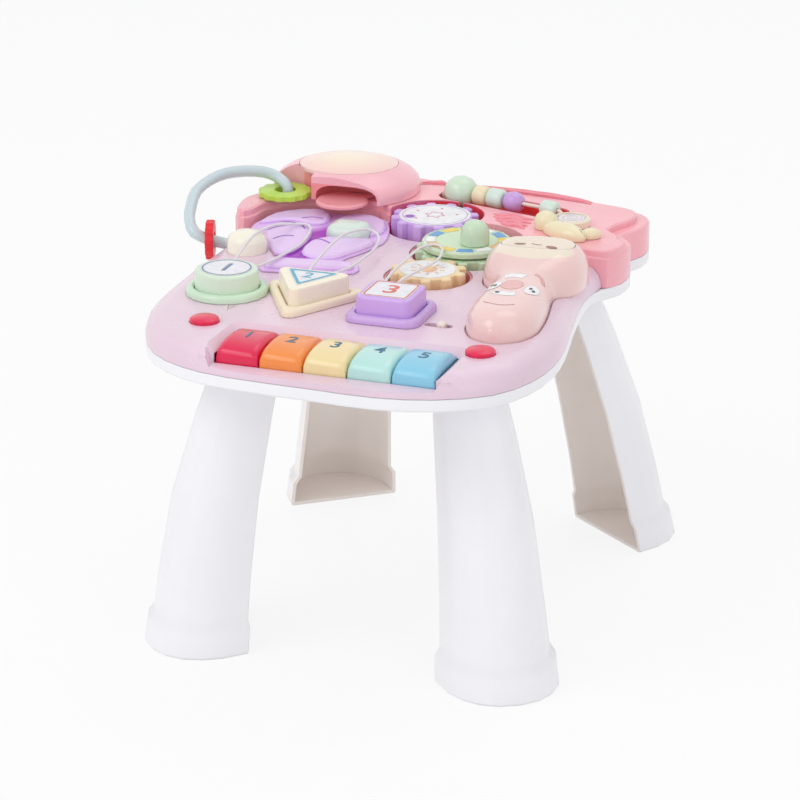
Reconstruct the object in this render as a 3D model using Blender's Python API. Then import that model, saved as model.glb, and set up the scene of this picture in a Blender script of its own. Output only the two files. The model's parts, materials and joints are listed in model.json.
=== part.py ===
"""Toddler activity table: a toy panel of keys, gears, beads, blocks and a handset on four legs.

Metres, +Z up. The table stands on z = 0 with the middle of its footprint at the origin.
+X is to the right of a child who plays the keys, and +Y points away from that child.
"""

import math

import bmesh
import bpy
from mathutils import Matrix, Vector

# Overall sizes
DECK_WIDTH = 0.304
DECK_DEPTH = 0.407
LEG_HEIGHT = 0.213
TRAY_HEIGHT = 0.009
FRONT_COVER_HEIGHT = 0.0165
REAR_STEP = 0.0105

# Walls and clearances
GAP = 0.0003
RUNNING_GAP = 0.0006
WALL = 0.0025
OVERRUN = 0.004
SHARP_ANGLE_DEG = 38
MITRE_LIMIT_SHARE = 0.4
CURVE_STEPS = 2
ROUND_STEPS = 18
FINE_STEPS = 28

# Casing details
FRONT_PLATE = 0.006
REAR_PLATE = 0.0115
COVER_EDGE_WALL = 0.0035
COVER_ROUND_IN = 0.014
COVER_ROUND_STEPS = 3
TERRACE_WIDTH = 0.008
TERRACE_DROP = 0.005
EDGE_ROUND = 0.0012

# Legs
LEG_WALL = 0.0026
LEG_SOLE = 0.003
LEG_CAP = 0.008
LEG_TURN_DEG = 38.5
LEG_SECTION_POWER = 0.9
LEG_SECTION_STEPS = 10
LEG_FOOT_HALF_WIDTH = 0.0389
LEG_TOP_HALF_WIDTH = 0.0226
LEG_FOOT_REACH = 0.0496
LEG_TOP_REACH = 0.0349
FRONT_FOOT_X = 0.1012
FRONT_FOOT_Y = 0.1346
FRONT_LEG_TOP_X = 0.0702
FRONT_LEG_TOP_Y = 0.112
REAR_FOOT_X = 0.106
REAR_FOOT_Y = 0.1282
REAR_LEG_TOP_X = 0.072
REAR_LEG_TOP_Y = 0.0759
FOOT_FLANGE = 0.0035
FOOT_FLANGE_HEIGHT = 0.019
FOOT_FLANGE_BLEND = 0.006
FOOT_EDGE = 0.0015
LEG_PLUG_INSET = 0.004
LEG_PLUG_HEIGHT = 0.0065

# Piano keys
KEY_COUNT = 5
KEY_WIDTH = 0.0298
KEY_SPACING = 0.0008
KEY_SIDE_CLEARANCE = 0.0012
KEY_LENGTH = 0.0442
KEY_BODY = 0.0140
KEY_CROWN = 0.0035
KEY_CROWN_RISE = 0.0055
KEY_SIDE_ROUND = 0.0052
KEY_SIDE_SINK_SHARE = 0.8
KEY_SIDE_DRAW_SHARE = 0.2
KEY_REAR_ROUND_SHARE = 0.3
KEY_LIP_RISE = 0.0052
KEY_LIP_FALL = 0.0012
KEY_TAIL_LENGTH = 0.0095
KEY_TAIL_THICKNESS = 0.0038
KEY_PIN_RADIUS = 0.0018
KEY_PIN_SIDES = 10
KEY_NOTCH_STEPS = 4
KEY_BAR_WIDTH = 0.006
KEY_WELL_TAPER = 0.0062
KEY_WELL_CLEARANCE = 0.0008

# Buttons
RED_BUTTON_RADIUS = 0.0100
RED_BUTTON_RISE = 0.004
EGG_RADIUS = 0.0145
EGG_RISE = 0.0150
MINT_BUTTON_WIDTH = 0.031
MINT_BUTTON_DEPTH = 0.027
MINT_BUTTON_RISE = 0.0115
BUTTON_FLANGE = 0.002
BUTTON_FLANGE_HEIGHT = 0.0018
BUTTON_STEM = 0.0035
BUTTON_CURVE_SHARE = 0.8
BUTTON_CROWN_SHARE = 0.5
MINT_CROWN_SHARE = 0.6

# Slide switch
SWITCH_LENGTH = 0.020
SWITCH_WIDTH = 0.007
SWITCH_KNOB_LENGTH = 0.0062
SWITCH_KNOB_RISE = 0.0028
SWITCH_BED_HEIGHT = 0.0028
SWITCH_BED_MARGIN = 0.003

# Blocks and their seats
BLOCK_TOP = 0.0175
BLOCK_SINK = 0.0075
BLOCK_CLEARANCE = 0.0006
BLOCK_EDGE = 0.0026
BLOCK_EDGE_SHARE = 0.3
CIRCLE_RADIUS = 0.02225
SQUARE_SIDE = 0.0395
SQUARE_CORNER = 0.006
TRIANGLE_RADIUS = 0.0285
TRIANGLE_CORNER = 0.005
SEAT_RING_WIDTH = 0.0063
TRIANGLE_RING_WIDTH = 0.0061
SEAT_RING_RISE = 0.0055
SEAT_WALL = 0.0018

# Gears
GEAR_MODULE = 0.005
PURPLE_TEETH = 12
MINT_TEETH = 14
CREAM_TEETH = 10
GEAR_ADDENDUM = 0.0020
GEAR_DEDENDUM = 0.0026
GEAR_BACKLASH = 0.0008
GEAR_PRESSURE_DEG = 22
GEAR_RECESS_DEPTH = 0.0088
GEAR_FLOOR_THICKNESS = 0.0025
GEAR_POST_RADIUS = 0.0040
GEAR_EDGE = 0.0008
GEAR_TIP_SHARE = 0.72
GEAR_TOP_SKIN = 0.0025
CREAM_GEAR_RISE = 0.0052
MINT_TEETH_RISE = 0.0040
MINT_DISC_RISE = 0.0050
MINT_DISC_HEIGHT = 0.0050
MINT_DISC_SHARE = 0.925
PURPLE_GEAR_RISE = -0.0007
GEAR_RECESS = 0.0042
GEAR_TRAY_WALL = 0.0015
GEAR_TRAY_DROP = 0.0010
POST_STEPS = 14
GEAR_POST_LENGTH = 0.0080
PURPLE_BEARING_DEG = 129.4
CREAM_BEARING_DEG = 261.7
KNOB_RADIUS = 0.0105
KNOB_RISE = 0.0170
KNOB_OFFSET = 0.0108
KNOB_BEARING_DEG = -40
KNOB_FLUTES = 12
KNOB_FLUTE_DEPTH = 0.0007

# Handset
PHONE_LENGTH = 0.175
PHONE_HALF_WIDTH = 0.036
PHONE_RISE_FRONT = 0.0185
PHONE_RISE_REAR = 0.0245
PHONE_SINK = 0.0025
PHONE_CLEARANCE = 0.0010
PHONE_ROUND = 0.0150
PHONE_TURN_DEG = 5.5
PHONE_ROUND_STEPS = 5
PHONE_WALL_SHARE = 0.3
PHONE_STEP_SHARE = 0.5
PHONE_BLEND_SHARE = 0.25
MUZZLE_GROOVE = 0.0004

# Lamp tower
DOME_HOUSING_RADIUS = 0.0548
DOME_WALL_HEIGHT = 0.0045
DOME_RISE = 0.0190
DOME_FRONT_BACK = 0.0045
DOME_ALCOVE_RADIUS = 0.0245
DOME_ALCOVE_RISE = 0.0080
DOME_ALCOVE_CURVE_SHARE = 0.6
DOME_TOP_SHARE = 0.96
DOME_STEPS = 8
ALCOVE_STEPS = 4
LENS_RADIUS = 0.0370
LENS_SEAT_SHARE = 0.66
PADDLE_RADIUS = 0.0195
PADDLE_RISE = 0.0032
PADDLE_HANDLE_WIDTH = 0.006
PADDLE_HANDLE_LENGTH = 0.0085

# Petal insert
INSERT_BASE = 0.0014
PETAL_RISE = 0.0030
PETAL_EDGE = 0.0016

# Beads on their rod
BEAD_ROD_RADIUS = 0.0015
BEAD_ROD_RISE = 0.0032
BEAD_BORE_CLEARANCE = 0.0004
BEAD_BALL_RADIUS = 0.0125
BEAD_BARREL_RADIUS = 0.0076
BEAD_ROUND_RADIUS = 0.0080
BEAD_TAIL_RADIUS = 0.0062
BEAD_BARREL_CREAM_LENGTH = 0.0118
BEAD_BARREL_MINT_LENGTH = 0.0134
BEAD_TAIL_LENGTH = 0.0130
BEAD_SPACING = 0.0004
BALL_STEPS = 6
BALL_POWER = 0.85
BALL_LENGTH_SHARE = 0.96
ROD_BEND_SHARE = 0.3
BEAD_STEM_LENGTH = 0.0165
BEAD_SLOT_WIDTH = 0.0295
BEAD_SLOT_SHIFT = 0.0020
BEAD_SLOT_CORNER_SHARE = 0.8
BEAD_SLOT_FLOOR = 0.0018
BEAD_ROD_TURN_DEG = -15.0
BEAD_ROD_LENGTH = 0.1065

# Snail
SNAIL_HEAD_RADIUS = 0.0090
SNAIL_BODY_LENGTH = 0.0400
SNAIL_BODY_WIDTH = 0.0180
SNAIL_BODY_HEIGHT = 0.0105
SNAIL_TAIL_LENGTH = 0.0160
SHELL_RADIUS = 0.0140
SHELL_HEIGHT = 0.0055
SHELL_RIM = 0.0015

# Hoop with its ring and its disc
HOOP_TUBE_RADIUS = 0.00425
HOOP_LEAN_DEG = 65
HOOP_FRONT_DROP = 0.0055
HOOP_REAR_STAND = 0.0065
HOOP_SOCKET = 0.005
RING_RADIUS = 0.0200
RING_THICKNESS = 0.0045
RING_BORE = 0.0080
RING_TEETH = 12
RING_TOOTH = 0.0011
DISC_RADIUS = 0.0145
DISC_THICKNESS = 0.0060
DISC_TEETH = 10
DISC_POINT = 1

# Inside pieces
SPEAKER_RADIUS = 0.020
SPEAKER_HEIGHT = 0.009
BOARD_LENGTH = 0.100
BOARD_WIDTH = 0.028
BOARD_THICKNESS = 0.0016
BATTERY_RADIUS = 0.00715
BATTERY_LENGTH = 0.050
BATTERY_COUNT = 3
BATTERY_SPACING = 0.0006
DOOR_MARGIN = 0.004
DOOR_CORNER = 0.003

# Strings, with the routes of their loops from block to block wall
STRING_RADIUS = 0.0010
STRING_STEPS = 3
string_routes = [
    [
        (-0.1120, -0.0728, 0.2495), (-0.1135, -0.0620, 0.2510), (-0.1170, -0.0380, 0.2526),
        (-0.1190, -0.0140, 0.2542), (-0.1175, 0.0100, 0.2535), (-0.1165, 0.0300, 0.2495),
        (-0.1135, 0.0460, 0.2453), (-0.1050, 0.0510, 0.2448), (-0.0975, 0.0420, 0.2448),
        (-0.0930, 0.0220, 0.2448), (-0.0912, 0.0000, 0.2448), (-0.0940, -0.0240, 0.2448),
        (-0.0970, -0.0460, 0.2455), (-0.0985, -0.0620, 0.2475), (-0.0990, -0.0736, 0.2495),
    ],
    [
        (-0.0550, -0.0764, 0.2495), (-0.0570, -0.0640, 0.2510), (-0.0600, -0.0350, 0.2520),
        (-0.0620, 0.0000, 0.2525), (-0.0610, 0.0220, 0.2515), (-0.0530, 0.0380, 0.2505),
        (-0.0440, 0.0360, 0.2480), (-0.0390, 0.0240, 0.2458), (-0.0370, 0.0050, 0.2450),
        (-0.0375, -0.0120, 0.2450), (-0.0390, -0.0350, 0.2450), (-0.0440, -0.0560, 0.2465),
        (-0.0460, -0.0660, 0.2485), (-0.0465, -0.0764, 0.2495),
    ],
    [
        (0.0020, -0.0824, 0.2495), (0.0000, -0.0700, 0.2500), (-0.0030, -0.0450, 0.2495),
        (-0.0040, -0.0150, 0.2490), (-0.0030, 0.0080, 0.2500), (0.0030, 0.0200, 0.2500),
        (0.0100, 0.0180, 0.2500), (0.0150, 0.0060, 0.2495), (0.0160, -0.0090, 0.2480),
        (0.0120, -0.0300, 0.2480), (0.0090, -0.0500, 0.2485), (0.0080, -0.0680, 0.2490),
        (0.0080, -0.0824, 0.2495),
    ],
]

# Levels
RIM_Z = LEG_HEIGHT + TRAY_HEIGHT
DECK_Z = RIM_Z + FRONT_COVER_HEIGHT
REAR_Z = DECK_Z + REAR_STEP
TRAY_FLOOR_Z = LEG_HEIGHT + WALL
FRONT_CEILING_Z = DECK_Z - FRONT_PLATE
REAR_CEILING_Z = REAR_Z - REAR_PLATE
GEAR_FLOOR_Z = DECK_Z - GEAR_RECESS_DEPTH - GEAR_FLOOR_THICKNESS

# Outlines of the deck, as shares of its width and depth
front_edge_shares = [
    (-0.500, 0.098), (-0.507, 0.037), (-0.510, -0.061), (-0.507, -0.197), (-0.500, -0.283),
    (-0.470, -0.373), (-0.405, -0.452),
    (-0.312, -0.499), (-0.197, -0.521), (0.000, -0.528), (0.148, -0.531), (0.273, -0.509),
    (0.378, -0.459), (0.431, -0.381),
    (0.447, -0.295), (0.438, -0.209), (0.414, -0.111), (0.395, -0.025), (0.385, 0.037), (0.388, 0.088),
]
right_edge_shares = [
    (0.405, 0.118), (0.428, 0.152), (0.431, 0.201), (0.414, 0.233), (0.388, 0.253), (0.398, 0.278),
    (0.418, 0.314), (0.418, 0.359),
    (0.388, 0.393), (0.322, 0.410), (0.197, 0.428), (0.066, 0.435), (-0.066, 0.437), (-0.158, 0.435),
]
left_edge_shares = [(-0.536, 0.248), (-0.553, 0.216), (-0.549, 0.177), (-0.536, 0.143)]
seam_shares = [
    (-0.510, 0.135), (-0.493, 0.160), (-0.487, 0.197), (-0.457, 0.229), (-0.418, 0.248),
    (-0.362, 0.260), (-0.303, 0.256), (-0.263, 0.256),
    (-0.224, 0.260), (-0.191, 0.241), (-0.125, 0.216), (-0.053, 0.192), (0.007, 0.162), (0.072, 0.143),
    (0.164, 0.140), (0.197, 0.123), (0.283, 0.130), (0.359, 0.120),
]
blank_rear_shares = [
    (0.391, 0.147), (0.345, 0.226), (0.197, 0.275), (-0.066, 0.290), (-0.296, 0.275), (-0.434, 0.236),
    (-0.493, 0.162),
]

# Places of the toys on the deck, as shares of its width and depth
KEY_ROW_SHARE = (0.016, -0.385)
RED_BUTTON_LEFT_SHARE = (-0.319, -0.386)
RED_BUTTON_RIGHT_SHARE = (0.319, -0.386)
EGG_SHARE = (-0.424, -0.007)
MINT_BUTTON_SHARE = (-0.234, 0.123)
SWITCH_SHARE = (0.175, -0.278)
SWITCH_KNOB_PLACE_SHARE = 0.12
CIRCLE_SHARE = (-0.350, -0.233)
TRIANGLE_SHARE = (-0.156, -0.230)
SQUARE_SHARE = (0.053, -0.252)
MINT_GEAR_SHARE = (0.069, 0.106)
PHONE_FRONT_SHARE = (0.324, -0.335)
DOME_SHARE = (-0.341, 0.331)
ALCOVE_SHARE = (-0.298, 0.249)
LENS_SHARE = (-0.342, 0.342)
PADDLE_SHARE = (-0.308, 0.237)
PADDLE_HANDLE_DEG = 55
BEAD_ROD_SHARE = (-0.109, 0.362)
SNAIL_HEAD_SHARE = (0.217, 0.215)
SNAIL_BODY_SHARE = (0.278, 0.178)
SNAIL_TAIL_SHARE = (0.339, 0.184)
SHELL_SHARE = (0.266, 0.248)
HOOP_FRONT_SHARE = (-0.493, 0.049)
HOOP_REAR_SHARE = (-0.459, 0.254)
RING_SHARE = (-0.461, 0.247)
SPEAKER_SHARE = (-0.237, -0.098)
BOARD_SHARE = (0.016, -0.314)
BATTERY_SHARE = (0.204, -0.152)
SNAIL_BODY_TURN_DEG = -27
SNAIL_TAIL_TURN_DEG = 30
SNAIL_TOP_DEG = 84
SNAIL_BASE_SHARE = 0.9
SNAIL_CREST_SHARE = 0.75

# Petals of the insert, as shares of the deck's width and depth
insert_shares = [
    (-0.480, 0.115), (-0.477, 0.162), (-0.461, 0.201), (-0.424, 0.226), (-0.372, 0.243),
    (-0.312, 0.241), (-0.270, 0.241), (-0.224, 0.243), (-0.181, 0.219),
    (-0.151, 0.162), (-0.138, 0.103),
    (-0.164, 0.029), (-0.184, -0.015), (-0.132, -0.034), (-0.125, -0.074), (-0.204, -0.093),
    (-0.329, -0.113), (-0.349, -0.074), (-0.322, -0.034),
    (-0.368, 0.000), (-0.395, 0.034), (-0.434, 0.084),
]
petal_shares = [
    [
        (-0.467, 0.133), (-0.457, 0.187), (-0.414, 0.224), (-0.355, 0.236), (-0.322, 0.206),
        (-0.319, 0.167), (-0.349, 0.155), (-0.395, 0.167), (-0.434, 0.152),
    ],
    [
        (-0.431, 0.088), (-0.428, 0.133), (-0.388, 0.150), (-0.342, 0.138), (-0.312, 0.088),
        (-0.303, 0.020), (-0.316, -0.025), (-0.349, -0.020), (-0.391, 0.034),
    ],
    [
        (-0.296, 0.152), (-0.296, 0.201), (-0.270, 0.229), (-0.224, 0.231), (-0.178, 0.201),
        (-0.161, 0.152), (-0.184, 0.123), (-0.230, 0.108), (-0.276, 0.118),
    ],
    [
        (-0.289, -0.005), (-0.296, 0.049), (-0.270, 0.084), (-0.224, 0.088), (-0.164, 0.098),
        (-0.151, 0.069), (-0.181, 0.010), (-0.204, -0.025), (-0.257, -0.029),
    ],
    [
        (-0.332, -0.059), (-0.270, -0.049), (-0.191, -0.039), (-0.141, -0.044), (-0.138, -0.069),
        (-0.197, -0.081), (-0.263, -0.093), (-0.322, -0.103), (-0.339, -0.084),
    ],
]

# Half-widths and lengths of the handset, and its muzzle, as shares of its own sizes
phone_width_shares = [
    (0.028, 0.34), (0.070, 0.52), (0.155, 0.67), (0.285, 0.68), (0.400, 0.64), (0.540, 0.57),
    (0.600, 0.64), (0.657, 0.82), (0.714, 0.95), (0.829, 1.00), (0.914, 0.89), (0.971, 0.61),
]
muzzle_shares = [
    (0.780, -0.62), (0.762, 0.0), (0.775, 0.60), (0.850, 0.72), (0.915, 0.55), (0.945, 0.0),
    (0.915, -0.55), (0.850, -0.72),
]

# How a leg curves from its foot, 1, to its top, 0, at these shares of its height
leg_height_shares = [0.26, 0.52, 0.78]
front_lean_shares = [0.84, 0.63, 0.31]
rear_lean_shares = [0.80, 0.56, 0.27]
leg_width_shares = [0.79, 0.59, 0.31]
leg_reach_shares = [0.88, 0.73, 0.37]

# Steps of the crank knob, as shares of its radius inwards and of its rise
knob_shares = [(0, 0), (0, 0.45), (0.12, 0.72), (0.35, 0.9), (0.72, 1.0)]

# Steps round one tooth of the ring and the disc, as shares of its pitch and of its depth
tooth_shares = [(0.0, 0.0), (0.42, 0.0), (0.55, 1.0), (0.87, 1.0)]

# The hoop's bend in its own plane, as shares of the distance between its ends
hoop_shares = [
    (-0.03, 0.08), (-0.07, 0.175), (-0.09, 0.32), (0.02, 0.43), (0.17, 0.50), (0.37, 0.56),
    (0.58, 0.54), (0.75, 0.48), (0.90, 0.37), (1.01, 0.24), (1.04, 0.12),
]

# Places along the crown of a key, as shares of its length and of its crown
key_crown_shares = [
    (0.0, 0.0), (0.08, 0.50), (0.20, 0.86), (0.40, 1.0), (0.62, 0.98), (0.80, 0.80), (0.92, 0.46),
    (0.98, 0.08),
]

# How far in and how far down the rounded side of a key goes, as shares of its rounding
key_side_shares = [(0.0, 1.0), (0.18, 0.42), (0.52, 0.10), (1.0, 0.0)]


def clear_scene():
    """Remove whatever the file holds."""
    for old in list(bpy.data.objects):
        bpy.data.objects.remove(old, do_unlink=True)


def make_material(name, colour, roughness, metallic=0.0):
    """A Principled material with one colour."""
    material = bpy.data.materials.new(name)
    material.use_nodes = True
    shader = material.node_tree.nodes["Principled BSDF"]
    shader.inputs["Base Color"].default_value = (*colour, 1.0)
    shader.inputs["Roughness"].default_value = roughness
    shader.inputs["Metallic"].default_value = metallic
    material.diffuse_color = (*colour, 1.0)
    return material


def deck_point(share):
    """A place on the deck from its shares of the deck's width and depth."""
    return (share[0] * DECK_WIDTH, share[1] * DECK_DEPTH)


def deck_points(shares):
    return [deck_point(share) for share in shares]


def polar(centre, radius, degrees):
    angle = math.radians(degrees)
    return (centre[0] + radius * math.cos(angle), centre[1] + radius * math.sin(angle))


def circle(centre, radius, steps=ROUND_STEPS, turn=0.0):
    return [polar(centre, radius, turn + index * 360 / steps) for index in range(steps)]


def arc(centre, radius, first, last, steps):
    return [polar(centre, radius, first + (last - first) * index / steps) for index in range(steps + 1)]


def smooth_closed(points, steps=CURVE_STEPS):
    """A closed Catmull-Rom curve through the points."""
    count = len(points)
    result = []
    for index in range(count):
        before, start, end, after = (points[(index + shift) % count] for shift in (-1, 0, 1, 2))
        for step in range(steps):
            t = step / steps
            result.append(tuple(catmull(a, b, c, d, t) for a, b, c, d in zip(before, start, end, after)))
    return result


def smooth_open(points, steps=CURVE_STEPS):
    """An open Catmull-Rom curve through the points."""
    padded = [points[0], *points, points[-1]]
    result = []
    for index in range(len(points) - 1):
        before, start, end, after = padded[index : index + 4]
        for step in range(steps):
            t = step / steps
            result.append(tuple(catmull(a, b, c, d, t) for a, b, c, d in zip(before, start, end, after)))
    result.append(tuple(points[-1]))
    return result


def catmull(a, b, c, d, t):
    """Catmull-Rom interpolation between b and c."""
    return 0.5 * (2 * b + (c - a) * t + (2 * a - 5 * b + 4 * c - d) * t**2 + (3 * b - a - 3 * c + d) * t**3)


def rounded_polygon(corners, radius, steps=3):
    """A polygon, anticlockwise, with each corner replaced by an arc."""
    result = []
    count = len(corners)
    for index in range(count):
        corner = Vector(corners[index])
        towards_last = (Vector(corners[index - 1]) - corner).normalized()
        towards_next = (Vector(corners[(index + 1) % count]) - corner).normalized()
        half = towards_last.angle(towards_next) / 2
        centre = corner + (towards_last + towards_next).normalized() * radius / math.sin(half)
        start = corner + towards_last * radius / math.tan(half)
        first = math.degrees(math.atan2(start.y - centre.y, start.x - centre.x))
        sweep = 180 - 2 * math.degrees(half)
        result.extend(arc(centre, radius, first, first + sweep, steps))
    return result


def rectangle(centre, width, depth):
    x, y = centre
    return [
        (x - width / 2, y - depth / 2),
        (x + width / 2, y - depth / 2),
        (x + width / 2, y + depth / 2),
        (x - width / 2, y + depth / 2),
    ]


def inset(points, distance):
    """Move an anticlockwise outline inwards; distance is one value or one for each point."""
    count = len(points)
    distances = distance if isinstance(distance, list) else [distance] * count
    result = []
    for index in range(count):
        here = Vector(points[index])
        back = (here - Vector(points[index - 1])).normalized()
        ahead = (Vector(points[(index + 1) % count]) - here).normalized()
        normal = Vector((-back.y - ahead.y, back.x + ahead.x))
        normal /= max(normal.length_squared / 2, MITRE_LIMIT_SHARE)
        result.append(tuple(here + normal * distances[index]))
    return result


def anticlockwise(points):
    """The outline in the direction that inset expects."""
    doubled_area = sum(a[0] * b[1] - b[0] * a[1] for a, b in zip(points, [*points[1:], points[0]]))
    return points if doubled_area > 0 else points[::-1]


def turned(points, centre, degrees):
    """Points turned about the vertical line through centre."""
    spin = Matrix.Rotation(math.radians(degrees), 2)
    return [tuple(spin @ (Vector(point) - Vector(centre)) + Vector(centre)) for point in points]


def add_object(name, mesh_data, material, origin=(0, 0, 0)):
    """One shaded object; its mesh is given about the origin."""
    for face in mesh_data.polygons:
        face.use_smooth = True
    mesh_data.set_sharp_from_angle(angle=math.radians(SHARP_ANGLE_DEG))
    thing = bpy.data.objects.new(name, mesh_data)
    bpy.context.scene.collection.objects.link(thing)
    thing.location = origin
    thing.parent = TABLE
    if material:
        mesh_data.materials.append(material)
    return thing


def mesh_of(vertices, faces, name, origin=(0, 0, 0)):
    """A mesh with its faces pointing out, measured from the origin given."""
    mesh_data = bpy.data.meshes.new(name)
    shifted = [tuple(Vector(vertex) - Vector(origin)) for vertex in vertices]
    mesh_data.from_pydata(shifted, [], faces)
    work = bmesh.new()
    work.from_mesh(mesh_data)
    bmesh.ops.recalc_face_normals(work, faces=work.faces)
    work.to_mesh(mesh_data)
    work.free()
    return mesh_data


def loft(name, rings, material, origin=(0, 0, 0)):
    """A closed solid through rings of equal count, with flat ends."""
    count = len(rings[0])
    vertices = [point for ring in rings for point in ring]
    faces = []
    for level in range(len(rings) - 1):
        for index in range(count):
            after = (index + 1) % count
            low, high = level * count, (level + 1) * count
            faces.append((low + index, low + after, high + after, high + index))
    faces.append(tuple(reversed(range(count))))
    faces.append(tuple(range((len(rings) - 1) * count, len(rings) * count)))
    return add_object(name, mesh_of(vertices, faces, name, origin), material, origin)


def stack(name, outline, profile, material, origin=(0, 0, 0)):
    """A solid from one outline and a profile of (inset, height) steps."""
    around = anticlockwise(outline)
    rings = [[(x, y, height) for x, y in inset(around, step)] for step, height in profile]
    return loft(name, rings, material, origin)


def tool_stack(name, outline, profile):
    """A hidden cutter made as a stack."""
    return hide_tool(stack(name, outline, profile, None))


def hide_tool(tool):
    tool.hide_render = True
    tool.display_type = "WIRE"
    return tool


def combine(target, tool, operation):
    """Cut a tool from a solid, join it or keep what both share."""
    modifier = target.modifiers.new(tool.name, "BOOLEAN")
    modifier.operation = operation
    modifier.solver = "EXACT"
    modifier.object = tool


def cut(target, *tools):
    for tool in tools:
        combine(target, tool, "DIFFERENCE")


def join(target, *tools):
    for tool in tools:
        combine(target, tool, "UNION")


def revolve(name, profile, material, origin, steps=ROUND_STEPS):
    """Turn a closed profile of (radius, height) points about the vertical line through the origin."""
    x, y, z = origin
    rings = [
        [(*polar((x, y), radius, index * 360 / steps), z + height) for index in range(steps)]
        for radius, height in profile
    ]
    vertices = [point for ring in rings for point in ring]
    faces = []
    levels = len(rings)
    for level in range(levels):
        low, high = level * steps, (level + 1) % levels * steps
        for index in range(steps):
            after = (index + 1) % steps
            faces.append((low + index, low + after, high + after, high + index))
    return add_object(name, mesh_of(vertices, faces, name, origin), material, origin)


def full_outline():
    """Outline of the whole deck, anticlockwise from the left end of the seam."""
    return deck_points(front_edge_shares) + rear_edge()


def dome_arc():
    return arc(deck_point(DOME_SHARE), DOME_HOUSING_RADIUS + EDGE_ROUND, 62, 200, 6)


def rear_edge():
    return deck_points(right_edge_shares) + dome_arc() + deck_points(left_edge_shares)


def rear_outline():
    return smooth_closed(rear_edge() + deck_points(seam_shares))


def rear_terrace_widths():
    """How far the terrace steps in at each point of the rear cover's outline."""
    right = len(right_edge_shares)
    others = len(dome_arc()) + len(left_edge_shares) + len(seam_shares)
    widths = []
    for index in range(right + others):
        on_terrace = 1 < index < right - 1
        widths.extend([TERRACE_WIDTH if on_terrace else 0.0] * CURVE_STEPS)
    return widths


def make_tray(materials):
    """White lower casing: a floor and a rim that carries both covers."""
    outline = smooth_closed(full_outline())
    tray = stack(
        "bottom_tray",
        outline,
        [(EDGE_ROUND, LEG_HEIGHT), (0, LEG_HEIGHT + EDGE_ROUND), (0, RIM_Z - GAP)],
        materials["white"],
    )
    hollow = tool_stack(
        "tray_hollow", outline, [(WALL, TRAY_FLOOR_Z), (WALL, RIM_Z + OVERRUN)]
    )
    cut(tray, hollow)
    for name, outline_of_plug in leg_plugs().items():
        hole = tool_stack(
            "socket_" + name,
            inset(outline_of_plug, -GAP),
            [(0, LEG_HEIGHT - OVERRUN), (0, TRAY_FLOOR_Z + OVERRUN)],
        )
        cut(tray, hole)
    door_outline = battery_door_outline()
    cut(tray, tool_stack(
        "door_hole", inset(door_outline, -GAP), [(0, LEG_HEIGHT - OVERRUN), (0, TRAY_FLOOR_Z + OVERRUN)]
    ))
    return tray


def front_blank():
    """Outline of the front cover before the seam is cut."""
    return smooth_closed(deck_points(front_edge_shares) + deck_points(blank_rear_shares))


def make_front_cover(materials):
    """Lavender cover with a broad rounded edge, cut along the seam by the rear cover's outline."""
    blank = front_blank()
    round_rise = FRONT_COVER_HEIGHT - COVER_EDGE_WALL
    profile = [(0, RIM_Z)]
    for step in range(COVER_ROUND_STEPS + 1):
        angle = math.radians(90 * step / COVER_ROUND_STEPS)
        profile.append((
            COVER_ROUND_IN * (1 - math.cos(angle)),
            RIM_Z + COVER_EDGE_WALL + round_rise * math.sin(angle),
        ))
    cover = stack("front_cover", blank, profile, materials["lavender"])
    hollow = tool_stack(
        "front_hollow",
        blank,
        [(WALL, RIM_Z - OVERRUN), (WALL, RIM_Z + COVER_EDGE_WALL), (2 * WALL, FRONT_CEILING_Z)],
    )
    seam = tool_stack(
        "seam_cutter", inset(rear_outline(), -GAP), [(0, RIM_Z - OVERRUN), (0, REAR_Z + OVERRUN)]
    )
    cut(cover, hollow, seam)
    return cover


def make_rear_cover(materials):
    """Pink cover, one step higher, with a terrace along its right and rear edges."""
    outline = rear_outline()
    widths = rear_terrace_widths()
    terrace_z = REAR_Z - TERRACE_DROP
    levels = [
        (0, 0, RIM_Z),
        (0, 0, terrace_z - EDGE_ROUND),
        (EDGE_ROUND, 0, terrace_z),
        (EDGE_ROUND, 1, terrace_z + GAP),
        (EDGE_ROUND, 1, REAR_Z - EDGE_ROUND),
        (2 * EDGE_ROUND, 1, REAR_Z),
    ]
    rings = []
    for base, terrace, height in levels:
        distances = [base + terrace * width for width in widths]
        rings.append([(x, y, height) for x, y in inset(outline, distances)])
    cover = loft("rear_cover", rings, materials["pink"])
    hollow = tool_stack("rear_hollow", outline, [(WALL, RIM_Z - OVERRUN), (WALL, REAR_CEILING_Z)])
    cut(cover, hollow)
    return cover


def leg_frame(side_x, side_y):
    """Outward and sideways directions of one leg."""
    angle = math.radians(LEG_TURN_DEG)
    outward = Vector((side_x * math.sin(angle), side_y * math.cos(angle)))
    return outward, Vector((outward.y, -outward.x))


def leg_section(place, side_x, side_y, half_width, reach, extra=0.0):
    """Half-round outline of a leg, its flat side facing in."""
    outward, sideways = leg_frame(side_x, side_y)
    centre = Vector(place)
    points = []
    for step in range(LEG_SECTION_STEPS + 1):
        angle = math.pi * step / LEG_SECTION_STEPS
        across = math.copysign(abs(math.cos(angle)) ** LEG_SECTION_POWER, math.cos(angle))
        out = abs(math.sin(angle)) ** LEG_SECTION_POWER
        points.append(tuple(centre + sideways * (half_width * across) + outward * (reach * out)))
    if extra:
        points.append(tuple(centre - sideways * half_width - outward * extra))
        points.insert(0, tuple(centre + sideways * half_width - outward * extra))
    return points


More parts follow.
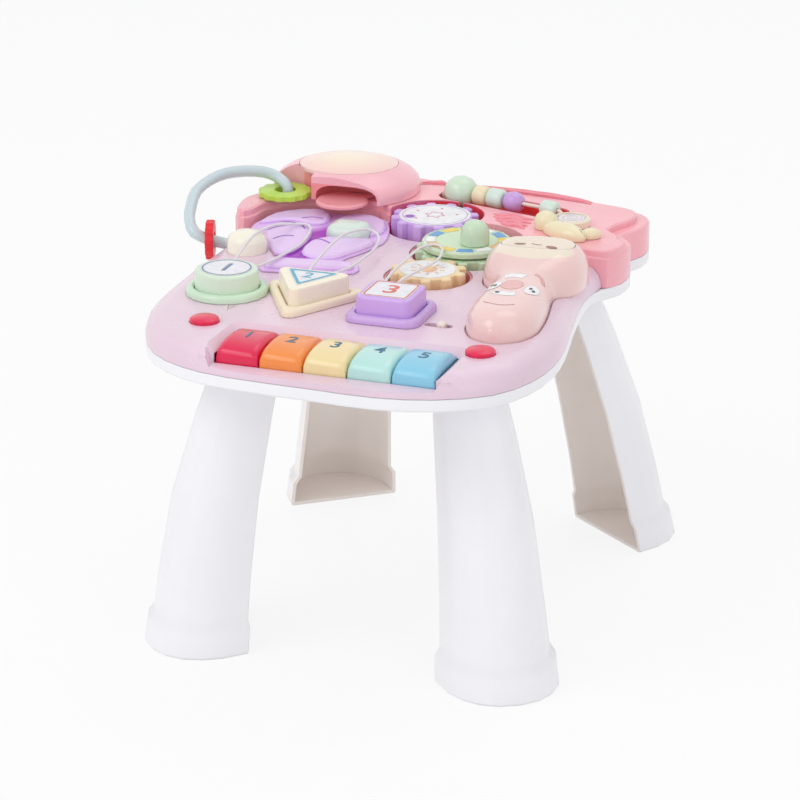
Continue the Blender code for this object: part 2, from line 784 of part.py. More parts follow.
def leg_stations(rear):
    """(height, x, y, half-width, reach) of a leg's sections from floor to top."""
    foot_x, foot_y = (REAR_FOOT_X, REAR_FOOT_Y) if rear else (FRONT_FOOT_X, FRONT_FOOT_Y)
    top_x, top_y = (REAR_LEG_TOP_X, REAR_LEG_TOP_Y) if rear else (FRONT_LEG_TOP_X, FRONT_LEG_TOP_Y)
    leans = rear_lean_shares if rear else front_lean_shares
    top = LEG_HEIGHT - GAP
    rows = [(0.0, 1.0, 1.0, 1.0)]
    rows += list(zip(leg_height_shares, leans, leg_width_shares, leg_reach_shares))
    rows.append((1.0, 0.0, 0.0, 0.0))
    stations = []
    for height, lean, width, reach in rows:
        stations.append((
            height * top,
            top_x + (foot_x - top_x) * lean,
            top_y + (foot_y - top_y) * lean,
            LEG_TOP_HALF_WIDTH + (LEG_FOOT_HALF_WIDTH - LEG_TOP_HALF_WIDTH) * width,
            LEG_TOP_REACH + (LEG_FOOT_REACH - LEG_TOP_REACH) * reach,
        ))
    return stations


def station_at(stations, height):
    """A leg's section at any height between two stations."""
    for low, high in zip(stations, stations[1:]):
        if height <= high[0]:
            share = (height - low[0]) / (high[0] - low[0])
            return tuple(a + (b - a) * share for a, b in zip(low, high))
    return stations[-1]


def leg_rings(rear, side_x, side_y, wall, extra, base):
    """Rings of a leg or of its hollow, with the flared foot at the bottom."""
    stations = leg_stations(rear)
    blend = FOOT_FLANGE_HEIGHT + FOOT_FLANGE_BLEND
    rows = []
    for height, flare in (
        (base, FOOT_FLANGE - (0 if wall else FOOT_EDGE)),
        (base + FOOT_EDGE, FOOT_FLANGE),
        (FOOT_FLANGE_HEIGHT, FOOT_FLANGE),
        (blend, 0.0),
    ):
        z, x, y, half_width, reach = station_at(stations, height)
        rows.append((z, x, y, half_width + flare, reach + flare))
    last = LEG_CAP if wall else 0.0
    rows += [station for station in stations if blend < station[0] < stations[-1][0] - last]
    if wall:
        rows.append(station_at(stations, stations[-1][0] - LEG_CAP))
    else:
        rows.append(stations[-1])
    rings = []
    for z, x, y, half_width, reach in rows:
        place = (side_x * x, side_y * y)
        section = leg_section(place, side_x, side_y, half_width - wall, reach - wall, extra)
        rings.append([(*point, z) for point in section])
    return rings


def plug_outline(rear, side_x, side_y):
    """Outline of the plug on top of a leg."""
    _, x, y, half_width, reach = leg_stations(rear)[-1]
    outward, _ = leg_frame(side_x, side_y)
    centre = Vector((side_x * x, side_y * y)) + outward * LEG_PLUG_INSET
    section = leg_section(
        centre, side_x, side_y, half_width - LEG_PLUG_INSET, reach - 2 * LEG_PLUG_INSET
    )
    return anticlockwise(section)


def leg_plugs():
    return {name: plug_outline(*place) for name, place in leg_places().items()}


def leg_places():
    return {
        "front_left": (False, -1, -1),
        "front_right": (False, 1, -1),
        "rear_left": (True, -1, 1),
        "rear_right": (True, 1, 1),
    }


def make_legs(materials):
    """Four half-round legs, open on their inner side, each with a sole and a plug."""
    for name, (rear, side_x, side_y) in leg_places().items():
        leg = loft("leg_" + name, leg_rings(rear, side_x, side_y, 0.0, 0.0, 0.0), materials["white"])
        hollow = hide_tool(loft(
            "leg_hollow_" + name,
            leg_rings(rear, side_x, side_y, LEG_WALL, OVERRUN, LEG_SOLE),
            None,
        ))
        plug = tool_stack(
            "plug_" + name,
            plug_outline(rear, side_x, side_y),
            [(0, LEG_HEIGHT - LEG_CAP / 2), (0, LEG_HEIGHT + LEG_PLUG_HEIGHT)],
        )
        cut(leg, hollow)
        join(leg, plug)


def key_pitch():
    return KEY_WIDTH + KEY_SPACING


def key_axis():
    """(y, z) of the pin that the keys turn on."""
    _, rear_y = deck_point(KEY_ROW_SHARE)
    return rear_y + KEY_TAIL_LENGTH - 2 * KEY_PIN_RADIUS, FRONT_CEILING_Z - KEY_TAIL_THICKNESS - GAP


def key_profile():
    """Side outline of a key in (y, z), anticlockwise seen from the right, with a rounded-edge mark."""
    _, rear_y = deck_point(KEY_ROW_SHARE)
    pin_y, pin_z = key_axis()
    top_z = DECK_Z - KEY_CROWN
    bottom_z = top_z - KEY_BODY + KEY_CROWN
    front_y = rear_y - KEY_LENGTH
    tail_top = FRONT_CEILING_Z - GAP
    tail_bottom = tail_top - KEY_TAIL_THICKNESS
    tail_y = rear_y + KEY_TAIL_LENGTH
    notch = arc((pin_y, pin_z), KEY_PIN_RADIUS + RUNNING_GAP, 180, 0, KEY_NOTCH_STEPS)
    outline = [((front_y + KEY_SIDE_ROUND / 2, bottom_z), 0.0), ((rear_y - KEY_TAIL_LENGTH, bottom_z), 0.0)]
    outline += [(point, 0.0) for point in notch]
    outline += [((tail_y, tail_bottom), 0.0), ((tail_y, tail_top), 0.0), ((rear_y, tail_top), 0.0)]
    for along, rise in key_crown_shares:
        place = (rear_y - along * KEY_LENGTH, top_z + rise * KEY_CROWN_RISE)
        outline.append((place, 1.0 if along else KEY_REAR_ROUND_SHARE))
    outline += [((front_y, top_z - KEY_CROWN / 2), 1.0)]
    outline += [((front_y, bottom_z + KEY_CROWN / 2), 0.5)]
    return outline


def make_keys(materials):
    """Five keys side by side on one pin."""
    names = ("key_red", "key_orange", "key_cream", "key_mint", "key_blue")
    row_x, _ = deck_point(KEY_ROW_SHARE)
    pin_y, pin_z = key_axis()
    profile = key_profile()
    half = KEY_WIDTH / 2
    sections = [(half - KEY_SIDE_ROUND * inwards, drop) for inwards, drop in key_side_shares]
    spread = [(-x, drop) for x, drop in sections] + [(x, drop) for x, drop in reversed(sections)]
    for index in range(KEY_COUNT):
        centre_x = row_x + (index - (KEY_COUNT - 1) / 2) * key_pitch()
        rings = []
        for x, drop in spread:
            ring = []
            for (y, z), share in profile:
                sink = KEY_SIDE_ROUND * drop * share
                ring.append((centre_x + x, y + sink * KEY_SIDE_DRAW_SHARE, z - sink * KEY_SIDE_SINK_SHARE))
            rings.append(ring)
        loft(f"key_{index + 1}", rings, materials[names[index]], (centre_x, pin_y, pin_z))


def key_row_length():
    return KEY_COUNT * key_pitch() - KEY_SPACING


def make_key_bar(materials):
    """The bar under the keys' tails, with a pin that they hook over."""
    row_x, _ = deck_point(KEY_ROW_SHARE)
    pin_y, pin_z = key_axis()
    length = key_row_length() + KEY_BAR_WIDTH + 2 * RUNNING_GAP
    base_top = pin_z - KEY_PIN_RADIUS - 2 * GAP - KEY_TAIL_THICKNESS / 2
    bar = stack(
        "key_bar",
        rectangle((row_x, pin_y), length, KEY_BAR_WIDTH),
        [(0, TRAY_FLOOR_Z + GAP), (0, base_top)],
        materials["inner"],
    )
    rings = []
    for x in (row_x - length / 2, row_x + length / 2):
        rings.append([(x, y, z) for y, z in circle((pin_y, pin_z), KEY_PIN_RADIUS, KEY_PIN_SIDES)])
    pin = hide_tool(loft("key_pin", rings, None))
    join(bar, pin)
    for side in (-1, 1):
        x = row_x + side * (length - KEY_BAR_WIDTH / 2) / 2
        cheek = tool_stack(
            "key_cheek_left" if side < 0 else "key_cheek_right",
            rectangle((x, pin_y), KEY_BAR_WIDTH / 2, KEY_BAR_WIDTH),
            [(0, TRAY_FLOOR_Z + 2 * GAP), (0, FRONT_CEILING_Z - GAP)],
        )
        join(bar, cheek)
    return bar


def lip_ring(half_width, low_y, high_y, front_z, rear_z):
    """Four corners of a slice of the low lip before the keys."""
    row_x, _ = deck_point(KEY_ROW_SHARE)
    return [
        (row_x - half_width, low_y, front_z),
        (row_x + half_width, low_y, front_z),
        (row_x + half_width, high_y, rear_z),
        (row_x - half_width, high_y, rear_z),
    ]


def cut_key_lip(cover, blank):
    """Lower the cover's front edge before the keys, with a solid floor under the low part."""
    _, rear_y = deck_point(KEY_ROW_SHARE)
    half = key_row_length() / 2 + KEY_SIDE_CLEARANCE
    wide = half + KEY_WELL_TAPER
    front_y = rear_y - KEY_LENGTH - KEY_WELL_CLEARANCE
    outer_y = min(y for _, y in blank) - OVERRUN
    lip_z = RIM_Z + KEY_LIP_RISE
    floor = tool_stack(
        "lip_floor", inset(blank, WALL / 2), [(0, lip_z - KEY_LIP_FALL - WALL), (0, FRONT_CEILING_Z + GAP)]
    )
    low, high = lip_z - KEY_LIP_FALL - 2 * WALL, FRONT_CEILING_Z + OVERRUN
    ends = [lip_ring(wide + WALL, outer_y, front_y + WALL, level, level) for level in (low, high)]
    combine(floor, hide_tool(loft("lip_reach", ends, None)), "INTERSECT")
    join(cover, floor)
    slices = [
        lip_ring(half, outer_y, front_y + GAP, lip_z - KEY_LIP_FALL, lip_z),
        lip_ring(wide, outer_y, front_y + GAP, DECK_Z, DECK_Z),
        lip_ring(wide, outer_y, front_y + GAP, DECK_Z + OVERRUN, DECK_Z + OVERRUN),
    ]
    cut(cover, hide_tool(loft("lip_space", slices, None)))


def cut_key_well(cover):
    """The keys' opening: sloping sides in the cover's plate, straight below."""
    row_x, rear_y = deck_point(KEY_ROW_SHARE)
    width = key_row_length() + 2 * KEY_SIDE_CLEARANCE
    depth = KEY_LENGTH + 2 * KEY_WELL_CLEARANCE
    centre = (row_x, rear_y - KEY_LENGTH / 2)
    outline = rounded_polygon(rectangle(centre, width, depth), EDGE_ROUND)
    cut(cover, tool_stack(
        "key_well",
        outline,
        [
            (0, RIM_Z - OVERRUN),
            (0, FRONT_CEILING_Z + GAP),
            (-KEY_WELL_TAPER, DECK_Z),
            (-KEY_WELL_TAPER, DECK_Z + OVERRUN),
        ],
    ))


def button_profile(radius, rise, base, crown_share):
    """(inset, height) steps of a push button with a retaining flange below the cover."""
    flange_top = FRONT_CEILING_Z - GAP
    straight = rise * (1 - crown_share)
    steps = [
        (radius / 2, flange_top - BUTTON_FLANGE_HEIGHT - BUTTON_STEM),
        (radius / 2, flange_top - BUTTON_FLANGE_HEIGHT),
        (-BUTTON_FLANGE, flange_top - BUTTON_FLANGE_HEIGHT),
        (-BUTTON_FLANGE, flange_top),
        (0, flange_top),
        (0, base + straight),
    ]
    for step in (1, 2, 3):
        angle = math.radians(90 * step / 3)
        steps.append((
            radius * BUTTON_CURVE_SHARE * (1 - math.cos(angle)),
            base + straight + rise * crown_share * math.sin(angle),
        ))
    return steps


def make_round_button(name, share, radius, rise, material, covers):
    """A round push button in its hole."""
    centre = deck_point(share)
    button = stack(
        name,
        circle(centre, radius),
        button_profile(radius, rise, DECK_Z, BUTTON_CROWN_SHARE),
        material,
        (*centre, DECK_Z),
    )
    hole = tool_stack(
        name + "_hole",
        circle(centre, radius + GAP),
        [(0, RIM_Z - OVERRUN), (0, DECK_Z + OVERRUN)],
    )
    for cover in covers:
        cut(cover, hole)
    return button


def make_mint_button(materials, covers):
    """The rounded-block button that stands in the petal insert."""
    centre = deck_point(MINT_BUTTON_SHARE)
    corner = MINT_BUTTON_DEPTH / 3
    outline = rounded_polygon(rectangle(centre, MINT_BUTTON_WIDTH, MINT_BUTTON_DEPTH), corner)
    stack(
        "mint_button",
        outline,
        button_profile(corner, MINT_BUTTON_RISE, DECK_Z, MINT_CROWN_SHARE),
        materials["mint"],
        (*centre, DECK_Z),
    )
    hole = tool_stack(
        "mint_button_hole", inset(outline, -GAP), [(0, RIM_Z - OVERRUN), (0, REAR_Z + OVERRUN)]
    )
    for cover in covers:
        cut(cover, hole)


def make_switch(materials, cover):
    """A knob that slides in a slot over a bed fixed below it."""
    centre = deck_point(SWITCH_SHARE)
    slot = rounded_polygon(
        rectangle(centre, SWITCH_LENGTH, SWITCH_WIDTH), SWITCH_WIDTH / 2 - GAP
    )
    cut(cover, tool_stack("switch_slot", slot, [(0, RIM_Z - OVERRUN), (0, DECK_Z + OVERRUN)]))
    bed_top = FRONT_CEILING_Z - GAP
    knob_top = DECK_Z + SWITCH_KNOB_RISE
    stack(
        "switch_bed",
        rectangle(centre, SWITCH_LENGTH + 2 * SWITCH_BED_MARGIN, SWITCH_WIDTH + 2 * SWITCH_BED_MARGIN),
        [(0, bed_top - SWITCH_BED_HEIGHT), (0, bed_top)],
        materials["rose"],
    )
    knob_centre = (centre[0] + SWITCH_KNOB_PLACE_SHARE * SWITCH_LENGTH, centre[1])
    knob = rounded_polygon(
        rectangle(knob_centre, SWITCH_KNOB_LENGTH, SWITCH_WIDTH - 2 * RUNNING_GAP), EDGE_ROUND
    )
    stack(
        "slide_switch",
        knob,
        [(0, bed_top + GAP), (0, knob_top - EDGE_ROUND), (EDGE_ROUND, knob_top)],
        materials["cream_white"],
        (*knob_centre, DECK_Z),
    )


def make_block(name, outline, ring_outline, material, cover, origin):
    """A lift-out block and the raised seat round it."""
    bottom = DECK_Z - BLOCK_SINK
    top = DECK_Z + BLOCK_TOP
    stack(
        "block_" + name,
        outline,
        [
            (EDGE_ROUND, bottom),
            (0, bottom + EDGE_ROUND),
            (0, top - BLOCK_EDGE),
            (BLOCK_EDGE * BLOCK_EDGE_SHARE, top - BLOCK_EDGE * BLOCK_EDGE_SHARE),
            (BLOCK_EDGE, top),
        ],
        material,
        (*origin, DECK_Z),
    )
    pocket = -BLOCK_CLEARANCE
    cup = pocket - SEAT_WALL
    ring_z = DECK_Z + SEAT_RING_RISE
    flange = DECK_Z + GAP
    floor = bottom - GAP - SEAT_WALL
    rings = []
    for shape, step, height in (
        (outline, cup, floor),
        (outline, cup, flange),
        (ring_outline, 0, flange),
        (ring_outline, 0, ring_z - 2 * EDGE_ROUND),
        (ring_outline, EDGE_ROUND, ring_z - EDGE_ROUND / 2),
        (ring_outline, 2 * EDGE_ROUND, ring_z),
        (outline, pocket - EDGE_ROUND, ring_z),
        (outline, pocket, ring_z - EDGE_ROUND),
        (outline, pocket, bottom - GAP),
    ):
        rings.append([(x, y, height) for x, y in inset(shape, step)])
    loft("block_seat_" + name, rings, material)
    cut(cover, tool_stack(
        "seat_hole_" + name, inset(outline, cup - GAP), [(0, RIM_Z - OVERRUN), (0, DECK_Z + OVERRUN)]
    ))


def make_blocks(materials, cover):
    """Circle, triangle and square, each with a seat of its own shape."""
    centre = deck_point(CIRCLE_SHARE)
    wide = CIRCLE_RADIUS + SEAT_RING_WIDTH
    disc = circle(centre, CIRCLE_RADIUS)
    make_block("circle", disc, circle(centre, wide), materials["mint"], cover, centre)
    centre = deck_point(TRIANGLE_SHARE)
    corner_radius = TRIANGLE_RADIUS + TRIANGLE_CORNER
    triangle = rounded_polygon(circle(centre, corner_radius, 3, -90), TRIANGLE_CORNER, 4)
    ring_corners = circle(centre, corner_radius + 2 * TRIANGLE_RING_WIDTH, 3, -90)
    ring = rounded_polygon(ring_corners, TRIANGLE_RING_WIDTH, 4)
    make_block("triangle", triangle, ring, materials["cream_yellow"], cover, centre)
    centre = deck_point(SQUARE_SHARE)
    wide = SQUARE_SIDE + 2 * SEAT_RING_WIDTH
    square = rounded_polygon(rectangle(centre, SQUARE_SIDE, SQUARE_SIDE), SQUARE_CORNER, 4)
    ring = rounded_polygon(rectangle(centre, wide, wide), SQUARE_CORNER + SEAT_RING_WIDTH / 2, 4)
    make_block("square", square, ring, materials["violet"], cover, centre)


def involute(angle):
    return math.tan(angle) - angle


def gear_outline(centre, teeth, turn):
    """Outline of a gear with short involute teeth; turn is the direction of its first tooth."""
    pressure = math.radians(GEAR_PRESSURE_DEG)
    pitch_radius = GEAR_MODULE * teeth / 2
    base_radius = pitch_radius * math.cos(pressure)
    root_radius = pitch_radius - GEAR_DEDENDUM
    tip_radius = pitch_radius + GEAR_ADDENDUM
    half_pitch = math.pi / (2 * teeth) - GEAR_BACKLASH / (4 * pitch_radius)

    def half_angle(radius):
        slope = math.acos(min(base_radius / max(radius, base_radius), 1.0))
        return half_pitch + involute(pressure) - involute(slope)

    middle = pitch_radius - GEAR_DEDENDUM / 3
    shoulder = tip_radius - GEAR_EDGE / 2
    flank = [(root_radius, half_angle(root_radius)), (middle, half_angle(middle))]
    flank += [(shoulder, half_angle(shoulder)), (tip_radius, half_angle(tip_radius) * GEAR_TIP_SHARE)]
    points = []
    for tooth in range(teeth):
        middle_angle = math.radians(turn) + 2 * math.pi * tooth / teeth
        for radius, half in flank:
            points.append(polar(centre, radius, math.degrees(middle_angle - half)))
        for radius, half in reversed(flank):
            points.append(polar(centre, radius, math.degrees(middle_angle + half)))
    return points


def gear_distance(teeth_a, teeth_b):
    return GEAR_MODULE * (teeth_a + teeth_b) / 2


def gear_places():
    """Centre and first-tooth direction of each gear, so that all three mesh at rest."""
    mint = deck_point(MINT_GEAR_SHARE)
    places = {"mint": (mint, MINT_TEETH, PURPLE_BEARING_DEG)}
    for name, teeth, bearing in (
        ("purple", PURPLE_TEETH, PURPLE_BEARING_DEG),
        ("cream", CREAM_TEETH, CREAM_BEARING_DEG),
    ):
        centre = polar(mint, gear_distance(MINT_TEETH, teeth), bearing)
        mint_step = 360 / MINT_TEETH
        past_tooth = (bearing - PURPLE_BEARING_DEG) % mint_step
        turn = bearing + 180 + past_tooth * MINT_TEETH / teeth + 180 / teeth
        places[name] = (centre, teeth, turn)
    return places


def gear_radius(teeth):
    return GEAR_MODULE * teeth / 2 + GEAR_ADDENDUM


def make_gear(name, rise, material):
    """One gear with a blind bore for its post."""
    centre, teeth, turn = gear_places()[name]
    bottom = GEAR_FLOOR_Z + GEAR_FLOOR_THICKNESS + GAP
    gear = stack(
        name + "_gear",
        gear_outline(centre, teeth, turn),
        [(0, bottom), (0, rise - GEAR_EDGE), (GEAR_EDGE, rise)],
        material,
        (*centre, bottom),
    )
    bore = tool_stack(
        name + "_bore",
        circle(centre, GEAR_POST_RADIUS + GAP, POST_STEPS),
        [(0, bottom - OVERRUN), (0, bottom + GEAR_POST_LENGTH + GAP)],
    )
    cut(gear, bore)
    return gear


def make_gears(materials, covers):
    """The gear train in its recess, on a tray with three posts."""
    make_gear("cream", DECK_Z + CREAM_GEAR_RISE, materials["cream_yellow"])
    make_gear("purple", REAR_Z + PURPLE_GEAR_RISE, materials["lilac"])
    mint = make_gear("mint", DECK_Z + MINT_TEETH_RISE, materials["mint"])
    centre, teeth, _ = gear_places()["mint"]
    disc_radius = GEAR_MODULE * teeth / 2 * MINT_DISC_SHARE
    disc_base = DECK_Z + MINT_DISC_RISE
    disc_top = disc_base + MINT_DISC_HEIGHT
    disc = tool_stack(
        "mint_disc",
        circle(centre, disc_radius, FINE_STEPS),
        [
            (5 * EDGE_ROUND, DECK_Z),
            (5 * EDGE_ROUND, disc_base - GEAR_EDGE),
            (0, disc_base + GEAR_EDGE),
            (0, disc_top - EDGE_ROUND),
            (EDGE_ROUND, disc_top),
        ],
    )
    join(mint, disc)
    make_knob(materials, centre, disc_top)
    for name, (place, count, _) in gear_places().items():
        recess = tool_stack(
            name + "_recess",
            circle(place, gear_radius(count) + GEAR_RECESS, FINE_STEPS),
            [(0, RIM_Z - OVERRUN), (0, REAR_Z + OVERRUN)],
        )
        for cover in covers:
            cut(cover, recess)
    return make_gear_tray(materials)


def make_knob(materials, gear_centre, base):
    """Fluted crank knob that stands off the middle of the mint gear."""
    centre = polar(gear_centre, KNOB_OFFSET, KNOB_BEARING_DEG)
    steps = KNOB_FLUTES * 2
    rings = []
    for inset_share, height_share in knob_shares:
        ring = []
        for index in range(steps):
            flute = KNOB_FLUTE_DEPTH * (index % 2) * (1 - inset_share)
            radius = KNOB_RADIUS * (1 - inset_share) - flute
            ring.append((*polar(centre, radius, index * 360 / steps), base + GAP + KNOB_RISE * height_share))
        rings.append(ring)
    loft("gear_knob", rings, materials["mint"], (*gear_centre, base))


def make_gear_tray(materials):
    """Lining of the gear recess: a walled tray on three feet, with a post for each gear."""
    floor_z = GEAR_FLOOR_Z + GEAR_FLOOR_THICKNESS
    discs, hollows, posts = [], [], []
    for name, (centre, teeth, _) in gear_places().items():
        radius = gear_radius(teeth) + GEAR_RECESS - GAP
        discs.append(stack(
            "gear_disc_" + name if discs else "gear_tray",
            circle(centre, radius, FINE_STEPS),
            [(0, GEAR_FLOOR_Z), (0, DECK_Z - GEAR_TRAY_DROP)],
            materials["rose"],
        ))
        hollows.append(tool_stack(
            "gear_hollow_" + name,
            circle(centre, radius - GEAR_TRAY_WALL, FINE_STEPS),
            [(0, floor_z), (0, DECK_Z + OVERRUN)],
        ))
        posts.append(tool_stack(
            "gear_post_" + name,
            circle(centre, GEAR_POST_RADIUS, POST_STEPS),
            [(0, TRAY_FLOOR_Z + GAP), (0, floor_z + GEAR_POST_LENGTH)],
        ))
    tray = discs[0]
    join(tray, *[hide_tool(disc) for disc in discs[1:]])
    cut(tray, *hollows)
    join(tray, *posts)
    return tray


def phone_outline():
    """Peanut outline of the handset on the deck, anticlockwise."""
    right = [(share * PHONE_HALF_WIDTH, along * PHONE_LENGTH) for along, share in phone_width_shares]
    left = [(-x, y) for x, y in reversed(right)]
    points = [(0.0, 0.0), *right, (0.0, PHONE_LENGTH), *left]
    front = deck_point(PHONE_FRONT_SHARE)
    placed = [(front[0] + x, front[1] + y) for x, y in smooth_closed(points, 2)]
    return turned(placed, front, PHONE_TURN_DEG)


def phone_rings(outline, base):
    """Rings of the handset: a low wall, then a crown that is higher over the rear lobe."""
    front = deck_point(PHONE_FRONT_SHARE)
    rings = []
    for step in range(-1, PHONE_ROUND_STEPS + 1):
        angle = math.radians(90 * max(step, 0) / PHONE_ROUND_STEPS)
        inwards = PHONE_ROUND * (1 - math.cos(angle))
        rise = PHONE_WALL_SHARE + (1 - PHONE_WALL_SHARE) * math.sin(angle) if step >= 0 else 0.0
        ring = []
        for x, y in inset(outline, inwards):
            along = min(max((y - front[1]) / PHONE_LENGTH, 0.0), 1.0)
            blend = min(max((along - PHONE_STEP_SHARE) / PHONE_BLEND_SHARE, 0.0), 1.0)
            blend = blend * blend * (3 - 2 * blend)
            height = PHONE_RISE_FRONT + (PHONE_RISE_REAR - PHONE_RISE_FRONT) * blend
            ring.append((x, y, base + (height + PHONE_SINK) * rise))
        rings.append(ring)
    return rings


def make_phone(materials, holders):
    """The handset, its cream muzzle and the cradle that it lies in."""
    outline = phone_outline()
    base = DECK_Z - PHONE_SINK + GAP
    front = deck_point(PHONE_FRONT_SHARE)
    origin = (*front, DECK_Z)
    phone = loft("phone_body", phone_rings(outline, base), materials["blush"], origin)
    region = []
    for along, across in muzzle_shares:
        region.append((front[0] + across * PHONE_HALF_WIDTH, front[1] + along * PHONE_LENGTH))
    region = turned(smooth_closed(region, 3), front, PHONE_TURN_DEG)
    region_base = DECK_Z + PHONE_RISE_FRONT / 2
    region_top = DECK_Z + PHONE_RISE_REAR + OVERRUN
    cut(phone, tool_stack("muzzle_hole", region, [(0, region_base), (0, region_top)]))
    muzzle = loft("phone_muzzle", phone_rings(outline, base), materials["cream_white"], origin)
    keep = tool_stack(
        "muzzle_region", region, [(MUZZLE_GROOVE, region_base + GAP), (MUZZLE_GROOVE, region_top)]
    )
    combine(muzzle, keep, "INTERSECT")
    cradle = tool_stack(
        "phone_cradle", inset(outline, -PHONE_CLEARANCE), [(0, DECK_Z - PHONE_SINK), (0, REAR_Z + OVERRUN)]
    )
    for holder in holders:
        cut(holder, cradle)


def lens_outline(growth):
    """The lens seen from above."""
    return circle(deck_point(LENS_SHARE), LENS_RADIUS + growth, FINE_STEPS)


def alcove_profile(low):
    """(inset, height) steps of the alcove: an upright wall under a vault."""
    wall = REAR_Z + DOME_WALL_HEIGHT
    profile = [(0, low), (0, wall)]
    for step in range(1, ALCOVE_STEPS + 1):
        angle = math.radians(90 * step / ALCOVE_STEPS)
        profile.append((
            DOME_ALCOVE_RADIUS * DOME_ALCOVE_CURVE_SHARE * (1 - math.cos(angle)),
            wall + DOME_ALCOVE_RISE * math.sin(angle),
        ))
    return profile


def dome_blank(name, material):
    """The domed tower before its alcove and lens are cut."""
    centre = deck_point(DOME_SHARE)
    base = REAR_Z + GAP
    wall = base + DOME_WALL_HEIGHT
    profile = [(0, base), (0, wall)]
    for step in range(1, DOME_STEPS):
        angle = math.radians(90 * step / DOME_STEPS)
        profile.append((
            DOME_HOUSING_RADIUS * (1 - math.cos(angle)),
            wall + DOME_RISE * math.sin(angle),
        ))
    profile.append((DOME_HOUSING_RADIUS * DOME_TOP_SHARE, wall + DOME_RISE))
    return stack(name, circle(centre, DOME_HOUSING_RADIUS, 2 * ROUND_STEPS), profile, material)


def make_dome(materials):
    """Round lamp tower with an alcove in its front and a cream lens in its crown."""
    housing = dome_blank("dome_housing", materials["coral"])
    low, high = REAR_Z - OVERRUN, REAR_Z + DOME_WALL_HEIGHT + DOME_RISE + OVERRUN
    alcove_centre = deck_point(ALCOVE_SHARE)
    seat_z = REAR_Z + DOME_WALL_HEIGHT + DOME_RISE * LENS_SEAT_SHARE
    alcove_line = circle(alcove_centre, DOME_ALCOVE_RADIUS, FINE_STEPS)
    alcove = tool_stack("dome_alcove", alcove_line, alcove_profile(low))
    ring_line = circle(deck_point(RING_SHARE), RING_RADIUS + 2 * EDGE_ROUND, FINE_STEPS)
    ring_space = tool_stack("ring_space", ring_line, [(0, low), (0, high)])
    front = rectangle(
        (alcove_centre[0], alcove_centre[1] - DOME_HOUSING_RADIUS),
        3 * DOME_HOUSING_RADIUS,
        2 * (DOME_HOUSING_RADIUS - DOME_FRONT_BACK),
    )
    front_space = tool_stack("dome_front_space", front, [(0, low), (0, high)])
    seat = tool_stack("lens_seat", lens_outline(GAP), [(0, seat_z), (0, high)])
    cut(housing, alcove, ring_space, front_space, seat)
    lens = dome_blank("dome_lens", materials["lens"])
    keep = tool_stack("lens_region", lens_outline(0), [(0, seat_z + GAP), (0, high)])
    combine(lens, keep, "INTERSECT")


def make_paddle(materials):
    """Pink disc with a short handle, in front of the lamp tower."""
    centre = deck_point(PADDLE_SHARE)
    base = REAR_Z + GAP
    top = REAR_Z + PADDLE_RISE
    profile = [(0, base), (0, top - EDGE_ROUND), (EDGE_ROUND, top)]
    paddle = stack("round_paddle", circle(centre, PADDLE_RADIUS, FINE_STEPS), profile, materials["pink"])
    reach = PADDLE_RADIUS + PADDLE_HANDLE_LENGTH
    corners = rectangle((centre[0] + reach / 2, centre[1]), reach, PADDLE_HANDLE_WIDTH)
    handle = rounded_polygon(corners, PADDLE_HANDLE_WIDTH / 2 - GAP)
    handle = turned(handle, centre, PADDLE_HANDLE_DEG)
    join(paddle, tool_stack("paddle_handle", handle, [(0, base), (0, top - EDGE_ROUND / 2)]))


def make_petals(materials):
    """The purple insert: a thin base on the deck with five raised petals."""
    base = DECK_Z + GAP
    deck = base + INSERT_BASE
    insert = stack(
        "petal_insert",
        smooth_closed(deck_points(insert_shares), 2),
        [(0, base), (0, deck - EDGE_ROUND / 2), (EDGE_ROUND / 2, deck)],
        materials["lilac"],
    )
    top = deck + PETAL_RISE
    for index, shares in enumerate(petal_shares):
        petal = tool_stack(
            f"petal_{index + 1}",
            smooth_closed(deck_points(shares), 2),
            [(0, base + INSERT_BASE / 2), (0, top - PETAL_EDGE), (PETAL_EDGE, top)],
        )
        join(insert, petal)
    return insert


def rod_point(along, across=0.0):
    """A place on the bead rod's line, or beside it."""
    start = deck_point(BEAD_ROD_SHARE)
    angle = math.radians(BEAD_ROD_TURN_DEG)
    return (
        start[0] + along * math.cos(angle) - across * math.sin(angle),
        start[1] + along * math.sin(angle) + across * math.cos(angle),
    )


def ball_profile(radius, length, bore):
    """Closed (radius, height) profile of a turned bead with a bore."""
    half = length / 2
    outer = []
    for step in range(1, BALL_STEPS):
        angle = math.radians(-90 + 180 * step / BALL_STEPS)
        outer.append((bore + (radius - bore) * math.cos(angle) ** BALL_POWER, half * math.sin(angle)))
    return [(bore, -half), *outer, (bore, half)]


def barrel_profile(radius, length, bore):
    half = length / 2
    edge = radius / 4
    return [
        (bore, -half),
        (radius - edge, -half),
        (radius, -half + edge),
        (radius, half - edge),
        (radius - edge, half),
        (bore, half),
    ]


def make_bead(name, profile, along, material):
    """A turned bead laid along the rod."""
    x, y = rod_point(along)
    z = REAR_Z + BEAD_ROD_RISE
    bead = revolve(name, profile, material, (x, y, z))
    bead.rotation_euler = (0, math.radians(90), math.radians(BEAD_ROD_TURN_DEG))
    return bead


